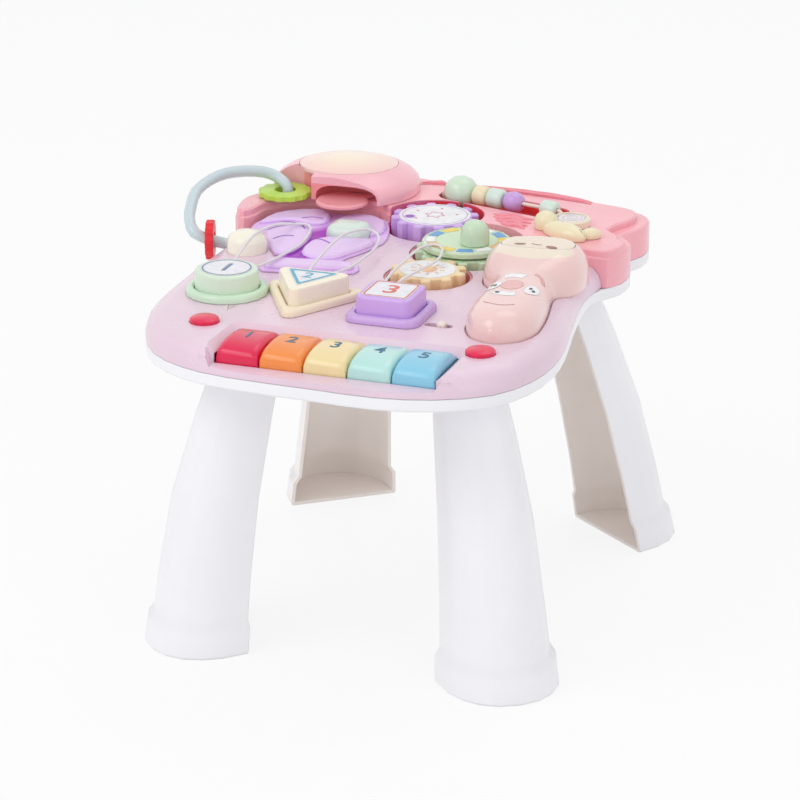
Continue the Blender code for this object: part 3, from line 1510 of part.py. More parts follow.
def make_beads(materials, cover):
    """A rod across a slot in the rear cover, with five beads threaded on it."""
    bore = BEAD_ROD_RADIUS + BEAD_BORE_CLEARANCE
    ball_length = 2 * BEAD_BALL_RADIUS * BALL_LENGTH_SHARE
    round_length = 2 * BEAD_ROUND_RADIUS * BALL_LENGTH_SHARE
    row = (
        ("bead_ball", BEAD_BALL_RADIUS, ball_length, "ball", "mint"),
        ("bead_barrel_cream", BEAD_BARREL_RADIUS, BEAD_BARREL_CREAM_LENGTH, "barrel", "cream_yellow"),
        ("bead_barrel_mint", BEAD_BARREL_RADIUS, BEAD_BARREL_MINT_LENGTH, "barrel", "pale_mint"),

        ("bead_round_purple", BEAD_ROUND_RADIUS, round_length, "ball", "violet"),
        ("bead_tail", BEAD_TAIL_RADIUS, BEAD_TAIL_LENGTH, "barrel", "pale_mint"),
    )
    along = bead_row_start()
    for name, radius, length, kind, colour in row:
        if name == "bead_tail":
            along += BEAD_STEM_LENGTH
        if kind == "ball":
            profile = ball_profile(radius, length, bore)
        else:
            profile = barrel_profile(radius, length, bore)
        make_bead(name, profile, along + length / 2, materials[colour])
        along += length + BEAD_SPACING
    make_bead_rod(materials)
    half = BEAD_SLOT_WIDTH / 2
    corners = [
        rod_point(0, BEAD_SLOT_SHIFT - half),
        rod_point(BEAD_ROD_LENGTH, BEAD_SLOT_SHIFT - half),
        rod_point(BEAD_ROD_LENGTH, BEAD_SLOT_SHIFT + half),
        rod_point(0, BEAD_SLOT_SHIFT + half),
    ]
    slot = rounded_polygon(corners, half * BEAD_SLOT_CORNER_SHARE, 4)
    floor = REAR_CEILING_Z + BEAD_SLOT_FLOOR
    cut(cover, tool_stack("bead_slot", slot, [(0, floor), (0, REAR_Z + OVERRUN)]))


def bead_row_start():
    return 3 * BEAD_ROD_RADIUS + RUNNING_GAP


def make_bead_rod(materials):
    """The rod, bent down at both ends on to the slot's floor."""
    z = REAR_Z + BEAD_ROD_RISE
    foot = REAR_CEILING_Z + BEAD_SLOT_FLOOR + GAP
    bend = 2 * BEAD_ROD_RADIUS
    corner = bend * ROD_BEND_SHARE
    inner = BEAD_ROD_LENGTH - bead_row_start()
    first, last = rod_point(BEAD_ROD_RADIUS + GAP), rod_point(BEAD_ROD_LENGTH - BEAD_ROD_RADIUS - GAP)
    points = [
        (*first, foot),
        (*first, z - bend),
        (*rod_point(BEAD_ROD_RADIUS + GAP + corner), z - corner),
        (*rod_point(bead_row_start()), z),
        (*rod_point(inner), z),
        (*rod_point(BEAD_ROD_LENGTH - BEAD_ROD_RADIUS - GAP - corner), z - corner),
        (*last, z - bend),
        (*last, foot),
    ]
    return tube("bead_rod", points, BEAD_ROD_RADIUS, materials["cream_white"], 2)


def tube(name, points, radius, material, resolution):
    """A round bar along a line of points, with filled ends."""
    curve = bpy.data.curves.new(name, "CURVE")
    curve.dimensions = "3D"
    curve.bevel_depth = radius
    curve.bevel_resolution = resolution
    curve.use_fill_caps = True
    line = curve.splines.new("POLY")
    line.points.add(len(points) - 1)
    for place, point in zip(line.points, points):
        place.co = (*point, 1.0)
    curve.materials.append(material)
    thing = bpy.data.objects.new(name, curve)
    bpy.context.scene.collection.objects.link(thing)
    thing.parent = TABLE
    return thing


def ellipsoid(name, centre, half_sizes, turn, material, steps=14, rings=5):
    """A closed ellipsoid whose lower part is cut off by the deck."""
    base = REAR_Z + GAP
    rows = []
    low = math.degrees(math.asin(min((base - centre[2]) / half_sizes[2], SNAIL_BASE_SHARE)))
    for row in range(rings + 1):
        angle = math.radians(low + (SNAIL_TOP_DEG - low) * row / rings)
        ring = []
        for index in range(steps):
            around = math.radians(index * 360 / steps)
            ring.append((
                centre[0] + half_sizes[0] * math.cos(angle) * math.cos(around),
                centre[1] + half_sizes[1] * math.cos(angle) * math.sin(around),
            ))
        height = centre[2] + half_sizes[2] * math.sin(angle)
        rows.append([(*point, height) for point in turned(ring, centre[:2], turn)])
    return loft(name, rows, material)


def make_snail(materials):
    """Snail with a fixed body and a shell that turns on a stub behind it."""
    head = deck_point(SNAIL_HEAD_SHARE)
    body = deck_point(SNAIL_BODY_SHARE)
    tail = deck_point(SNAIL_TAIL_SHARE)
    middle = REAR_Z + SNAIL_BODY_HEIGHT / 4
    snail = ellipsoid(
        "snail_body",
        (*body, middle),
        (SNAIL_BODY_LENGTH / 2, SNAIL_BODY_WIDTH / 2, SNAIL_BODY_HEIGHT * SNAIL_CREST_SHARE),
        SNAIL_BODY_TURN_DEG,
        materials["cream_yellow"],
    )
    head_piece = hide_tool(ellipsoid(
        "snail_head", (*head, middle + SNAIL_HEAD_RADIUS / 6),
        (SNAIL_HEAD_RADIUS, SNAIL_HEAD_RADIUS, SNAIL_HEAD_RADIUS), 0, None,
    ))
    tail_piece = hide_tool(ellipsoid(
        "snail_tail", (*tail, middle - GAP),
        (SNAIL_TAIL_LENGTH / 2, SNAIL_TAIL_LENGTH / 3, SNAIL_BODY_HEIGHT / 2), SNAIL_TAIL_TURN_DEG, None,
    ))
    join(snail, head_piece, tail_piece)
    shell = deck_point(SHELL_SHARE)
    base = REAR_Z + GAP
    profile = [
        (0, base),
        (0, base + SHELL_HEIGHT - EDGE_ROUND),
        (EDGE_ROUND, base + SHELL_HEIGHT),
        (SHELL_RIM + EDGE_ROUND, base + SHELL_HEIGHT),
        (SHELL_RIM + EDGE_ROUND, base + SHELL_HEIGHT - EDGE_ROUND / 2),
    ]
    disc_line = circle(shell, SHELL_RADIUS, FINE_STEPS)
    stack("snail_shell", disc_line, profile, materials["cream_yellow"], (*shell, base))
    space_line = circle(shell, SHELL_RADIUS + RUNNING_GAP, FINE_STEPS)
    levels = [(0, base - OVERRUN), (0, REAR_Z + 2 * SHELL_RADIUS)]
    cut(snail, tool_stack("shell_space", space_line, levels))


def hoop_frame():
    """Start, along and outward directions of the hoop's plane, and the distance between its ends."""
    front_x, front_y = deck_point(HOOP_FRONT_SHARE)
    rear_x, rear_y = deck_point(HOOP_REAR_SHARE)
    start = Vector((front_x, front_y, DECK_Z - HOOP_FRONT_DROP))
    end = Vector((rear_x, rear_y, REAR_Z + HOOP_REAR_STAND))
    along = (end - start).normalized()
    level_out = Vector((-along.y, along.x, 0.0)).normalized()
    lean = math.radians(HOOP_LEAN_DEG)
    outward = level_out * math.sin(lean) + along.cross(level_out) * math.cos(lean)
    return start, along, outward, (end - start).length


def hoop_points():
    """The hoop's centre line, from inside the deck's side round to the rear cover."""
    start, along, outward, chord = hoop_frame()
    points = [start - outward * HOOP_SOCKET, start]
    points += [start + along * (run * chord) + outward * (out * chord) for run, out in hoop_shares]
    end = start + along * chord
    points += [end, Vector((end.x, end.y, REAR_Z)), Vector((end.x, end.y, REAR_Z - HOOP_SOCKET))]
    return [Vector(point) for point in smooth_open([tuple(point) for point in points], 2)]


def sweep(name, points, radius, material, sides=8):
    """A round bar along a line of points, as a mesh."""
    rings = []
    side = None
    for index, point in enumerate(points):
        before = points[max(index - 1, 0)]
        after = points[min(index + 1, len(points) - 1)]
        tangent = (after - before).normalized()
        side = tangent.orthogonal() if side is None else side - tangent * side.dot(tangent)
        side.normalize()
        other = tangent.cross(side)
        ring = []
        for step in range(sides):
            angle = 2 * math.pi * step / sides
            spoke = side * math.cos(angle) + other * math.sin(angle)
            ring.append(tuple(point + spoke * radius))
        rings.append(ring)
    return loft(name, rings, material)


def toothed_outline(centre, radius, teeth, depth):
    """A round outline with shallow square teeth."""
    points = []
    for tooth in range(teeth):
        for share, drop in tooth_shares:
            points.append(polar(centre, radius - drop * depth, (tooth + share) * 360 / teeth))
    return points


def toothed_disc(name, radius, thickness, teeth, bore, material, place):
    """A flat toothed disc with a hole, lying level at the place given."""
    base = place[2] - thickness / 2
    disc = stack(
        name,
        toothed_outline(place[:2], radius, teeth, RING_TOOTH),
        [
            (EDGE_ROUND / 2, base),
            (0, base + EDGE_ROUND / 2),
            (0, base + thickness - EDGE_ROUND / 2),
            (EDGE_ROUND / 2, base + thickness),
        ],
        material,
        place,
    )
    hole = hide_tool(stack(
        name + "_bore",
        circle(place[:2], bore),
        [(0, base - OVERRUN), (0, base + thickness + OVERRUN)],
        None,
        place,
    ))
    return disc, hole


def make_hoop(materials, covers):
    """The wire hoop at the left, with a green ring and a red disc threaded on it."""
    front_cover, rear_cover = covers
    points = hoop_points()
    sweep("hoop_rail", points, HOOP_TUBE_RADIUS, materials["hoop"])
    inner = points[0] + (points[0] - points[1]).normalized() * OVERRUN
    front_hole = hide_tool(sweep("hoop_front_hole", [inner, *points[:6]], HOOP_TUBE_RADIUS + GAP, None))
    cut(front_cover, front_hole)
    rear_place = deck_point(HOOP_REAR_SHARE)
    cut(rear_cover, tool_stack(
        "hoop_rear_hole",
        circle(rear_place, HOOP_TUBE_RADIUS + GAP),
        [(0, REAR_Z - HOOP_SOCKET - GAP), (0, REAR_Z + OVERRUN)],
    ))
    ring_place = (*deck_point(RING_SHARE), REAR_Z + GAP + RING_THICKNESS / 2)
    ring, ring_hole = toothed_disc(
        "green_ring", RING_RADIUS, RING_THICKNESS, RING_TEETH, RING_BORE, materials["lime"], ring_place
    )
    cut(ring, ring_hole)
    index = 2 * (DISC_POINT + 2)
    tangent = (points[index + 1] - points[index - 1]).normalized()
    place = tuple(points[index])
    level = Vector((tangent.x, tangent.y, 0.0))
    slope = tangent.angle(level)
    bore = HOOP_TUBE_RADIUS / math.cos(slope) + DISC_THICKNESS / 2 * math.tan(slope) + RUNNING_GAP
    disc, disc_hole = toothed_disc(
        "red_disc", DISC_RADIUS, DISC_THICKNESS, DISC_TEETH, bore, materials["key_red"], place
    )
    cut(disc, disc_hole)
    facing = level.to_track_quat("Z", "Y")
    for piece in (disc, disc_hole):
        piece.rotation_mode = "QUATERNION"
        piece.rotation_quaternion = facing


def make_petal_and_buttons(materials, front_cover):
    """The petal insert and the four push buttons."""
    insert = make_petals(materials)
    sides = (("red_button_left", RED_BUTTON_LEFT_SHARE), ("red_button_right", RED_BUTTON_RIGHT_SHARE))
    for name, share in sides:
        make_round_button(
            name, share, RED_BUTTON_RADIUS, RED_BUTTON_RISE, materials["key_red"], [front_cover]
        )
    make_round_button(
        "egg_button", EGG_SHARE, EGG_RADIUS, EGG_RISE, materials["cream_yellow"], [front_cover]
    )
    make_mint_button(materials, [front_cover, insert])


def battery_bay():
    """Width and length of the row of batteries."""
    width = BATTERY_COUNT * 2 * BATTERY_RADIUS + (BATTERY_COUNT - 1) * BATTERY_SPACING
    return width, BATTERY_LENGTH


def battery_door_outline():
    width, length = battery_bay()
    centre = deck_point(BATTERY_SHARE)
    return rounded_polygon(
        rectangle(centre, width + 2 * DOOR_MARGIN, length + 2 * DOOR_MARGIN), DOOR_CORNER
    )


def make_inside(materials):
    """Speaker, circuit board, batteries and their door, low in the casing."""
    base = TRAY_FLOOR_Z + GAP
    speaker = deck_point(SPEAKER_SHARE)
    stack(
        "speaker",
        circle(speaker, SPEAKER_RADIUS),
        [
            (0, base),
            (0, base + SPEAKER_HEIGHT / 3),
            (SPEAKER_RADIUS / 2, base + SPEAKER_HEIGHT / 2),
            (SPEAKER_RADIUS / 2, base + SPEAKER_HEIGHT),
        ],
        materials["dark"],
    )
    board = deck_point(BOARD_SHARE)
    stack(
        "circuit_board",
        rectangle(board, BOARD_LENGTH, BOARD_WIDTH),
        [(0, base), (0, base + BOARD_THICKNESS)],
        materials["board"],
    )
    centre = deck_point(BATTERY_SHARE)
    width, length = battery_bay()
    stack(
        "battery_door",
        battery_door_outline(),
        [(EDGE_ROUND / 2, LEG_HEIGHT), (0, LEG_HEIGHT + EDGE_ROUND / 2), (0, TRAY_FLOOR_Z)],
        materials["white"],
    )
    for index in range(BATTERY_COUNT):
        x = centre[0] - width / 2 + BATTERY_RADIUS + index * (2 * BATTERY_RADIUS + BATTERY_SPACING)
        ends = [
            Vector((x, centre[1] - length / 2, base + BATTERY_RADIUS)),
            Vector((x, centre[1] + length / 2, base + BATTERY_RADIUS)),
        ]
        sweep(f"battery_{index + 1}", ends, BATTERY_RADIUS, materials["dark"], 16)


def make_strings(materials):
    """Three white string loops, each with both ends in the back of its block."""
    for index, route in enumerate(string_routes):
        points = smooth_open(route, STRING_STEPS)
        tube(f"string_loop_{index + 1}", points, STRING_RADIUS, materials["string"], 2)


def centre_on_footprint():
    """Move the whole table so that the middle of its bounding box lies over the origin."""
    bpy.context.view_layer.update()
    graph = bpy.context.evaluated_depsgraph_get()
    lows, highs = [], []
    for thing in bpy.data.objects:
        if thing.hide_render or thing.type == "EMPTY" or thing.name.startswith("string_loop"):
            continue
        evaluated = thing.evaluated_get(graph)
        shape = evaluated.to_mesh()
        places = [evaluated.matrix_world @ vertex.co for vertex in shape.vertices]
        lows.append([min(place[axis] for place in places) for axis in range(2)])
        highs.append([max(place[axis] for place in places) for axis in range(2)])
        evaluated.to_mesh_clear()
    for axis in range(2):
        low = min(row[axis] for row in lows)
        high = max(row[axis] for row in highs)
        TABLE.location[axis] = -(low + high) / 2


def main():
    """Build every piece, then stand the table over the origin."""
    materials = {
        "white": make_material("white_plastic", (0.90, 0.90, 0.91), 0.45),
        "lavender": make_material("lavender_plastic", (0.80, 0.66, 0.80), 0.35),
        "pink": make_material("pink_plastic", (0.93, 0.52, 0.55), 0.35),
        "coral": make_material("coral_plastic", (0.92, 0.46, 0.48), 0.35),
        "blush": make_material("blush_plastic", (0.93, 0.62, 0.60), 0.30),
        "rose": make_material("rose_plastic", (0.75, 0.25, 0.35), 0.40),
        "mint": make_material("mint_plastic", (0.64, 0.86, 0.68), 0.35),
        "pale_mint": make_material("pale_mint_plastic", (0.74, 0.90, 0.80), 0.35),
        "cream_yellow": make_material("cream_yellow_plastic", (0.93, 0.84, 0.60), 0.35),
        "cream_white": make_material("cream_white_plastic", (0.93, 0.88, 0.80), 0.35),
        "violet": make_material("violet_plastic", (0.66, 0.50, 0.86), 0.35),
        "lilac": make_material("lilac_plastic", (0.70, 0.55, 0.85), 0.35),
        "lens": make_material("lens_plastic", (0.95, 0.84, 0.66), 0.25),
        "key_red": make_material("red_plastic", (0.85, 0.05, 0.14), 0.30),
        "key_orange": make_material("orange_plastic", (0.93, 0.35, 0.08), 0.30),
        "key_cream": make_material("key_cream_plastic", (0.95, 0.78, 0.42), 0.30),
        "key_mint": make_material("key_mint_plastic", (0.42, 0.78, 0.62), 0.30),
        "key_blue": make_material("key_blue_plastic", (0.25, 0.62, 0.80), 0.30),
        "inner": make_material("inner_plastic", (0.75, 0.75, 0.76), 0.50),
        "hoop": make_material("hoop_plastic", (0.58, 0.72, 0.74), 0.30),
        "lime": make_material("lime_plastic", (0.55, 0.85, 0.12), 0.35),
        "dark": make_material("dark_plastic", (0.06, 0.06, 0.07), 0.50),
        "board": make_material("board_green", (0.05, 0.25, 0.12), 0.60),
        "string": make_material("white_string", (0.93, 0.92, 0.91), 0.80),
    }
    make_tray(materials)
    front_cover = make_front_cover(materials)
    rear_cover = make_rear_cover(materials)
    covers = (front_cover, rear_cover)
    make_legs(materials)
    make_keys(materials)
    make_key_bar(materials)
    cut_key_lip(front_cover, front_blank())
    cut_key_well(front_cover)
    make_petal_and_buttons(materials, front_cover)
    make_switch(materials, front_cover)
    make_blocks(materials, front_cover)
    gear_tray = make_gears(materials, covers)
    make_phone(materials, (front_cover, rear_cover, gear_tray))
    make_dome(materials)
    make_paddle(materials)
    make_beads(materials, rear_cover)
    make_snail(materials)
    make_hoop(materials, covers)
    make_inside(materials)
    make_strings(materials)
    centre_on_footprint()


clear_scene()
TABLE = bpy.data.objects.new("activity_table", None)
bpy.context.scene.collection.objects.link(TABLE)
main()
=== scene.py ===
"""The toddler's activity table in its finished materials, seen from the photograph's angle."""

import json
import math

import bmesh
import bpy
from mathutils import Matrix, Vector
from mathutils.bvhtree import BVHTree

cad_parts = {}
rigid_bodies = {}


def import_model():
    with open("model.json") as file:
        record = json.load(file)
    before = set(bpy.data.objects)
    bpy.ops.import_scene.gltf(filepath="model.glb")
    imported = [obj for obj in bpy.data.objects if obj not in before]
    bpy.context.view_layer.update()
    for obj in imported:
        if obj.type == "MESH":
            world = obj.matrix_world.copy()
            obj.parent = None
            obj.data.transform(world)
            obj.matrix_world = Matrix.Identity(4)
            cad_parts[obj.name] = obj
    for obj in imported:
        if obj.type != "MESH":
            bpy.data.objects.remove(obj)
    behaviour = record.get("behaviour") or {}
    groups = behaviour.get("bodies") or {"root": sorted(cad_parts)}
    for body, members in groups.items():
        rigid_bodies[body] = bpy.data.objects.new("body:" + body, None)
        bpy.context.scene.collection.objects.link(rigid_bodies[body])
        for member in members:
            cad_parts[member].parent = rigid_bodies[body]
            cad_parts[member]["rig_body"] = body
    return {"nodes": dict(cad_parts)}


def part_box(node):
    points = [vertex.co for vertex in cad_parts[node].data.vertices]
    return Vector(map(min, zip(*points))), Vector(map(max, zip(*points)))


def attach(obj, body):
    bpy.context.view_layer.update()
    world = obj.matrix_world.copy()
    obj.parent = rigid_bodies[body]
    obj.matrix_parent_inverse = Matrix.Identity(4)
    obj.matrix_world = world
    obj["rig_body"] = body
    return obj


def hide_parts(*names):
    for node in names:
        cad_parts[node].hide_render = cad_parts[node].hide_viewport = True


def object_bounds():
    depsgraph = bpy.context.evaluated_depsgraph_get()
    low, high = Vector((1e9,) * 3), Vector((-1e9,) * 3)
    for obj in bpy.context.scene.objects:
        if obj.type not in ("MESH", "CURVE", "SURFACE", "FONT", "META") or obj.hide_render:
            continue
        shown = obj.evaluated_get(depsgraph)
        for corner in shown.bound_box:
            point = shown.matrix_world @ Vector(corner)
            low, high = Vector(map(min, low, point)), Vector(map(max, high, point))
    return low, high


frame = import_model()
nodes = frame["nodes"]
cad_low, cad_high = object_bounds()
scene = bpy.context.scene

# Camera, in metres and degrees
CAMERA_PLACE = (0.7242, -2.0073, 0.9311)
CAMERA_TARGET = (0.00629, 0.01287, 0.13779)
LENS_MM = 144

# Light
WORLD_LIGHT = 0.74
KEY_PLACE = (-1.5, -1.7, 2.4)
KEY_SIZE = 1.6
KEY_POWER = 19
FILL_PLACE = (2.0, -1.0, 1.2)
FILL_SIZE = 1.8
FILL_POWER = 5
TOP_PLACE = (0.3, 0.9, 2.2)
TOP_SIZE = 1.4
TOP_POWER = 5
FRONT_PLACE = (-0.62, -1.95, 0.86)
FRONT_SIZE = 0.42
FRONT_POWER = 2.2
FLOOR_HALF = 6.0
FLOOR_LIFT = 0.82

# The casing's place over the origin, as the part's source sets it
TABLE_SHIFT = Vector((0.020463, 0.01287, 0.0))

# Strings
STRING_RADIUS = 0.0010
STRING_STEPS = 2
STRING_ROUTES = [
    [
        (-0.1120, -0.0728, 0.2495), (-0.1135, -0.0620, 0.2510), (-0.1170, -0.0380, 0.2526),
        (-0.1190, -0.0140, 0.2542), (-0.1175, 0.0100, 0.2535), (-0.1165, 0.0300, 0.2495),
        (-0.1135, 0.0460, 0.2453), (-0.1050, 0.0510, 0.2448), (-0.0975, 0.0420, 0.2448),
        (-0.0930, 0.0220, 0.2448), (-0.0912, 0.0000, 0.2448), (-0.0940, -0.0240, 0.2448),
        (-0.0970, -0.0460, 0.2455), (-0.0985, -0.0620, 0.2475), (-0.0990, -0.0736, 0.2495),
    ],
    [
        (-0.0550, -0.0764, 0.2495), (-0.0570, -0.0640, 0.2510), (-0.0600, -0.0350, 0.2520),
        (-0.0620, 0.0000, 0.2525), (-0.0610, 0.0220, 0.2515), (-0.0530, 0.0380, 0.2505),
        (-0.0440, 0.0360, 0.2480), (-0.0390, 0.0240, 0.2458), (-0.0370, 0.0050, 0.2450),
        (-0.0375, -0.0120, 0.2450), (-0.0390, -0.0350, 0.2450), (-0.0440, -0.0560, 0.2465),
        (-0.0460, -0.0660, 0.2485), (-0.0465, -0.0764, 0.2495),
    ],
    [
        (0.0020, -0.0824, 0.2495), (0.0000, -0.0700, 0.2500), (-0.0030, -0.0450, 0.2495),
        (-0.0040, -0.0150, 0.2490), (-0.0030, 0.0080, 0.2500), (0.0030, 0.0200, 0.2500),
        (0.0100, 0.0180, 0.2500), (0.0150, 0.0060, 0.2495), (0.0160, -0.0090, 0.2480),
        (0.0120, -0.0300, 0.2480), (0.0090, -0.0500, 0.2485), (0.0080, -0.0680, 0.2490),
        (0.0080, -0.0824, 0.2495),
    ],
]
STRING_WHITE = (247, 243, 246)
BLOCK_NAMES = ("circle", "triangle", "square")

# Key numbers: place along the key, and height of the figure
KEY_NUMBER_SHARE = 0.43
KEY_NUMBER_SIZE = 0.0155
STROKE_SHARE = 0.012

# Stickers on the blocks, in the order of BLOCK_NAMES
STICKER_INKS = ((124, 142, 172), (92, 180, 208), (232, 110, 92))
STICKER_LINE_WIDTHS = (0.0011, 0.0022, 0.0010)
BLOCK_NUMBER_SIZES = (0.0230, 0.0150, 0.0230)
STICKER_LINE_INSET = 0.0008
CIRCLE_REACH = 0.0180
TRIANGLE_REACH = 0.0222
TRIANGLE_TRIM = 0.0030
TRIANGLE_MIDDLE_SHARE = 0.31
SQUARE_REACH = 0.0228
SQUARE_TRIM = 0.0024
CORNER_STEPS = 6

# Prints on the gears
PURPLE_CENTRE = (0.0002, 0.1062)
PURPLE_FACE_RADIUS = 0.0262
PURPLE_LINE_RADII = (0.0240, 0.0233)
FLOWER_PETALS = 6
FLOWER_OUTER = (0.0062, 0.0013)
FLOWER_INNER = (0.0053, 0.0012)
DOT_COUNT = 4
DOT_STEP_DEG = 70
DOT_REACH = 0.0160
DOT_RADIUS = 0.0011
GRIP_OFFSET = (-0.0159, -0.0098)
GRIP_RIM_RADIUS = 0.0042
GRIP_RADIUS = 0.0032
MINT_CENTRE = (0.041439, 0.056012)
BAR_COLOURS = ((250, 222, 96), (104, 166, 224), (250, 250, 250), (250, 176, 104))
BAR_COUNT = 12
BAR_RADII = (0.0292, 0.0222)
BAR_START_DEG = 3
BAR_SWEEP_DEG = 25
MINT_RIM_RADII = (0.0312, 0.0304)
CREAM_FACE_RADIUS = 0.0196
SUN_RADIUS = 0.0068
RAY_COUNT = 10
RAY_ENDS = (0.0086, 0.0124)
RAY_WIDTH = 0.0016

# The handset's face
NOSE_BARS = {
    "nose_top": [(0.1000, -0.0390), (0.1070, -0.0365), (0.1140, -0.0375)],
    "nose_low": [(0.1035, -0.0735), (0.1110, -0.0755), (0.1185, -0.0740)],
}
NOSE_BAR_WIDTH = 0.0080
EYES = {"left": (0.0985, -0.0585), "right": (0.1262, -0.0610)}
EYE_HALVES = (0.0050, 0.0092)
PUPIL_OFFSETS = ((-0.0012, 0.0016), (0.0016, -0.0014))
PUPIL_HALVES = (0.0011, 0.0021)
NOSE_MARK = ((0.1062, -0.0745), 0.0016, 0.0016)
NOSE = ((0.1108, -0.0565), 0.0078, 0.0096)
# Line of the painted shade along the raised right brow
BROW_LINE = [(0.1190, -0.0290), (0.1240, -0.0315), (0.1275, -0.0390)]
BROW_WIDTH = 0.0028
MOUTH_LINE = [(0.1030, -0.0945), (0.1100, -0.0980), (0.1180, -0.0985), (0.1250, -0.0945)]
MOUTH_WIDTH = 0.0008
NOSTRILS = {
    "left": ((0.0939, 0.0150), 0.0040, 0.0017, 0.25),
    "right": ((0.1170, 0.0140), 0.0044, 0.0026, -0.3),
}
MUZZLE_LINE = [(0.1015, 0.0180), (0.1050, 0.0168), (0.1090, 0.0172)]
MUZZLE_LINE_WIDTH = 0.0007

# Moulded ribs, and engraved lines on the petals drawn as dark strokes of painted shade
RIPPLE_LINES = [
    [(0.0400, 0.1215), (0.0480, 0.1180), (0.0560, 0.1210), (0.0640, 0.1165), (0.0730, 0.1160)],
    [(0.0420, 0.1150), (0.0500, 0.1115), (0.0580, 0.1140), (0.0660, 0.1090), (0.0735, 0.1075)],
    [(0.0460, 0.1080), (0.0540, 0.1045), (0.0610, 0.1065), (0.0680, 0.1015), (0.0730, 0.0995)],
    [(0.0520, 0.1010), (0.0590, 0.0978), (0.0660, 0.0985), (0.0725, 0.0925)],
]
RIDGE_LINE = [
    (-0.0353, 0.1794), (-0.0243, 0.1820), (-0.0125, 0.1835), (0.0120, 0.1822), (0.0413, 0.1808),
    (0.0615, 0.1785), (0.0842, 0.1752), (0.1005, 0.1720),
]
PETAL_LINES = [
    [(-0.0945, 0.0821), (-0.0881, 0.0870), (-0.0794, 0.0859)],
    [(-0.1089, 0.0665), (-0.1000, 0.0705), (-0.0900, 0.0670), (-0.0830, 0.0587)],
    [(-0.1075, 0.0468), (-0.1040, 0.0556), (-0.0987, 0.0604)],
    [(-0.0958, 0.0283), (-0.0917, 0.0374), (-0.0842, 0.0398)],
    [(-0.0681, 0.0371), (-0.0624, 0.0380), (-0.0536, 0.0321)],
]

RIPPLE_WIDTH = 0.0050
RIPPLE_RISE = 0.0024
RIDGE_WIDTH = 0.0060
RIDGE_RISE = 0.0034
# Offset and width of a deeper pink line of painted shade beside the rear ridge
RIDGE_SHADE_SHIFT = 0.0042
RIDGE_SHADE_WIDTH = 0.0016
PETAL_LINE_WIDTH = 0.0011
SHELL_DISC_RADIUS = 0.0102
SPIRAL_POINTS = 40
SPIRAL_START = 0.0010
SPIRAL_GROWTH = 0.0080
SPIRAL_STEP_DEG = 22
SPIRAL_WIDTH = 0.0006
SNAIL_MARK = [(0.1175, 0.0800), (0.1195, 0.0782), (0.1222, 0.0775)]
SNAIL_MARK_WIDTH = 0.0008
NOTCH_LINE = [(-0.0752, -0.1075), (-0.0716, -0.1180), (-0.0684, -0.1075)]
NOTCH_WIDTH = 0.0013
NOTCH_SHADE_LINE = [(-0.0740, -0.1078), (-0.0716, -0.1160), (-0.0697, -0.1078)]
NOTCH_SHADE_WIDTH = 0.0004
CURVE_STEPS = 6

# Coloured spots on the casing: centre, reach, top height, softness, and the colour follows. The
# bead slot, alcove and petal gap spots are painted shade.
EVERYWHERE = ((0.0, 0.0), (1.0, 1.0))
GEAR_SPOT = (PURPLE_CENTRE, (0.0372, 0.0372))
# Painted shade in the bead slot, below the deck
BEAD_SLOT_SHADE_SPOT = ((0.038, 0.147), (0.062, 0.024), 0.2482, 0.08)
# Painted shade in the alcove under the dome's front edge
ALCOVE_SHADE_SPOT = ((-0.0835, 0.128), (0.031, 0.028), 0.2622, 0.06)
LENS_SPOT = ((-0.0835, 0.1518), (0.037, 0.037), 1.0, 0.75)
# Painted shade in the gaps between the petals
PETAL_GAP_SHADE_SPOT = ((-0.069, 0.033), (0.018, 0.056), 0.2414, 0.4)
MUZZLE_SPOT = ((0.1050, 0.0100), (0.0290, 0.0190), 1.0, 0.03)

# Surfaces
WELD_DISTANCE = 0.00002
SHARP_ANGLE_DEG = 38
ROUND_ANGLE_DEG = 70
EDGE_RADIUS = 0.0007
GRAIN = 0.012
GRAIN_DEPTH = 0.0003
GRAIN_SCALE = 700.0
DRIFT_SCALE = 14.0
SMUDGE_SCALE = 55.0
WORN_SHARE = 0.22
WORN_LIMITS = (0.95, 0.7)
PLASTIC_IOR = 1.5
COAT_ROUGHNESS = 0.12
WHITE_DRIFT = 0.988
PRINT_DRIFT_SCALE = 240.0
PRINT_SMUDGE_SCALE = 90.0
PRINT_GRAIN_SCALE = 1800.0
BRAID_SCALE = 520.0
MASK_SOFT = 0.0004
LEG_SPAN = 0.12
STICKER_LIFT = 0.00012
STICKER_THICKNESS = 0.00008
CELL = 0.0015
RIB_STEPS = 5
RIB_SIDES = 8
RIB_TIP = 0.02
RIB_SINK = 0.0002
REACH = 0.05

# Colours as read from the photograph, 0 to 255
WHITE = (247, 246, 250)
# A paler, warmer white for the legs' inner faces: painted light
WHITE_INNER_LIT = (255, 247, 241)
LAVENDER = (234, 208, 224)
PINK = (253, 178, 189)
PINK_DEEP = (244, 132, 146)
MAGENTA = (224, 48, 126)
# A deep red for the bead slot below the deck: painted shade
SLOT_SHADE_RED = (236, 70, 74)
CORAL = (250, 186, 197)
# A deeper coral for the alcove under the dome's front edge: painted shade
ALCOVE_SHADE = (246, 146, 150)
BLUSH = (243, 206, 202)
MUZZLE = (240, 224, 204)
ROSE = (206, 122, 142)
PALE_MINT = (216, 236, 224)
LILAC = (236, 204, 250)
LILAC_BASE = (230, 192, 247)
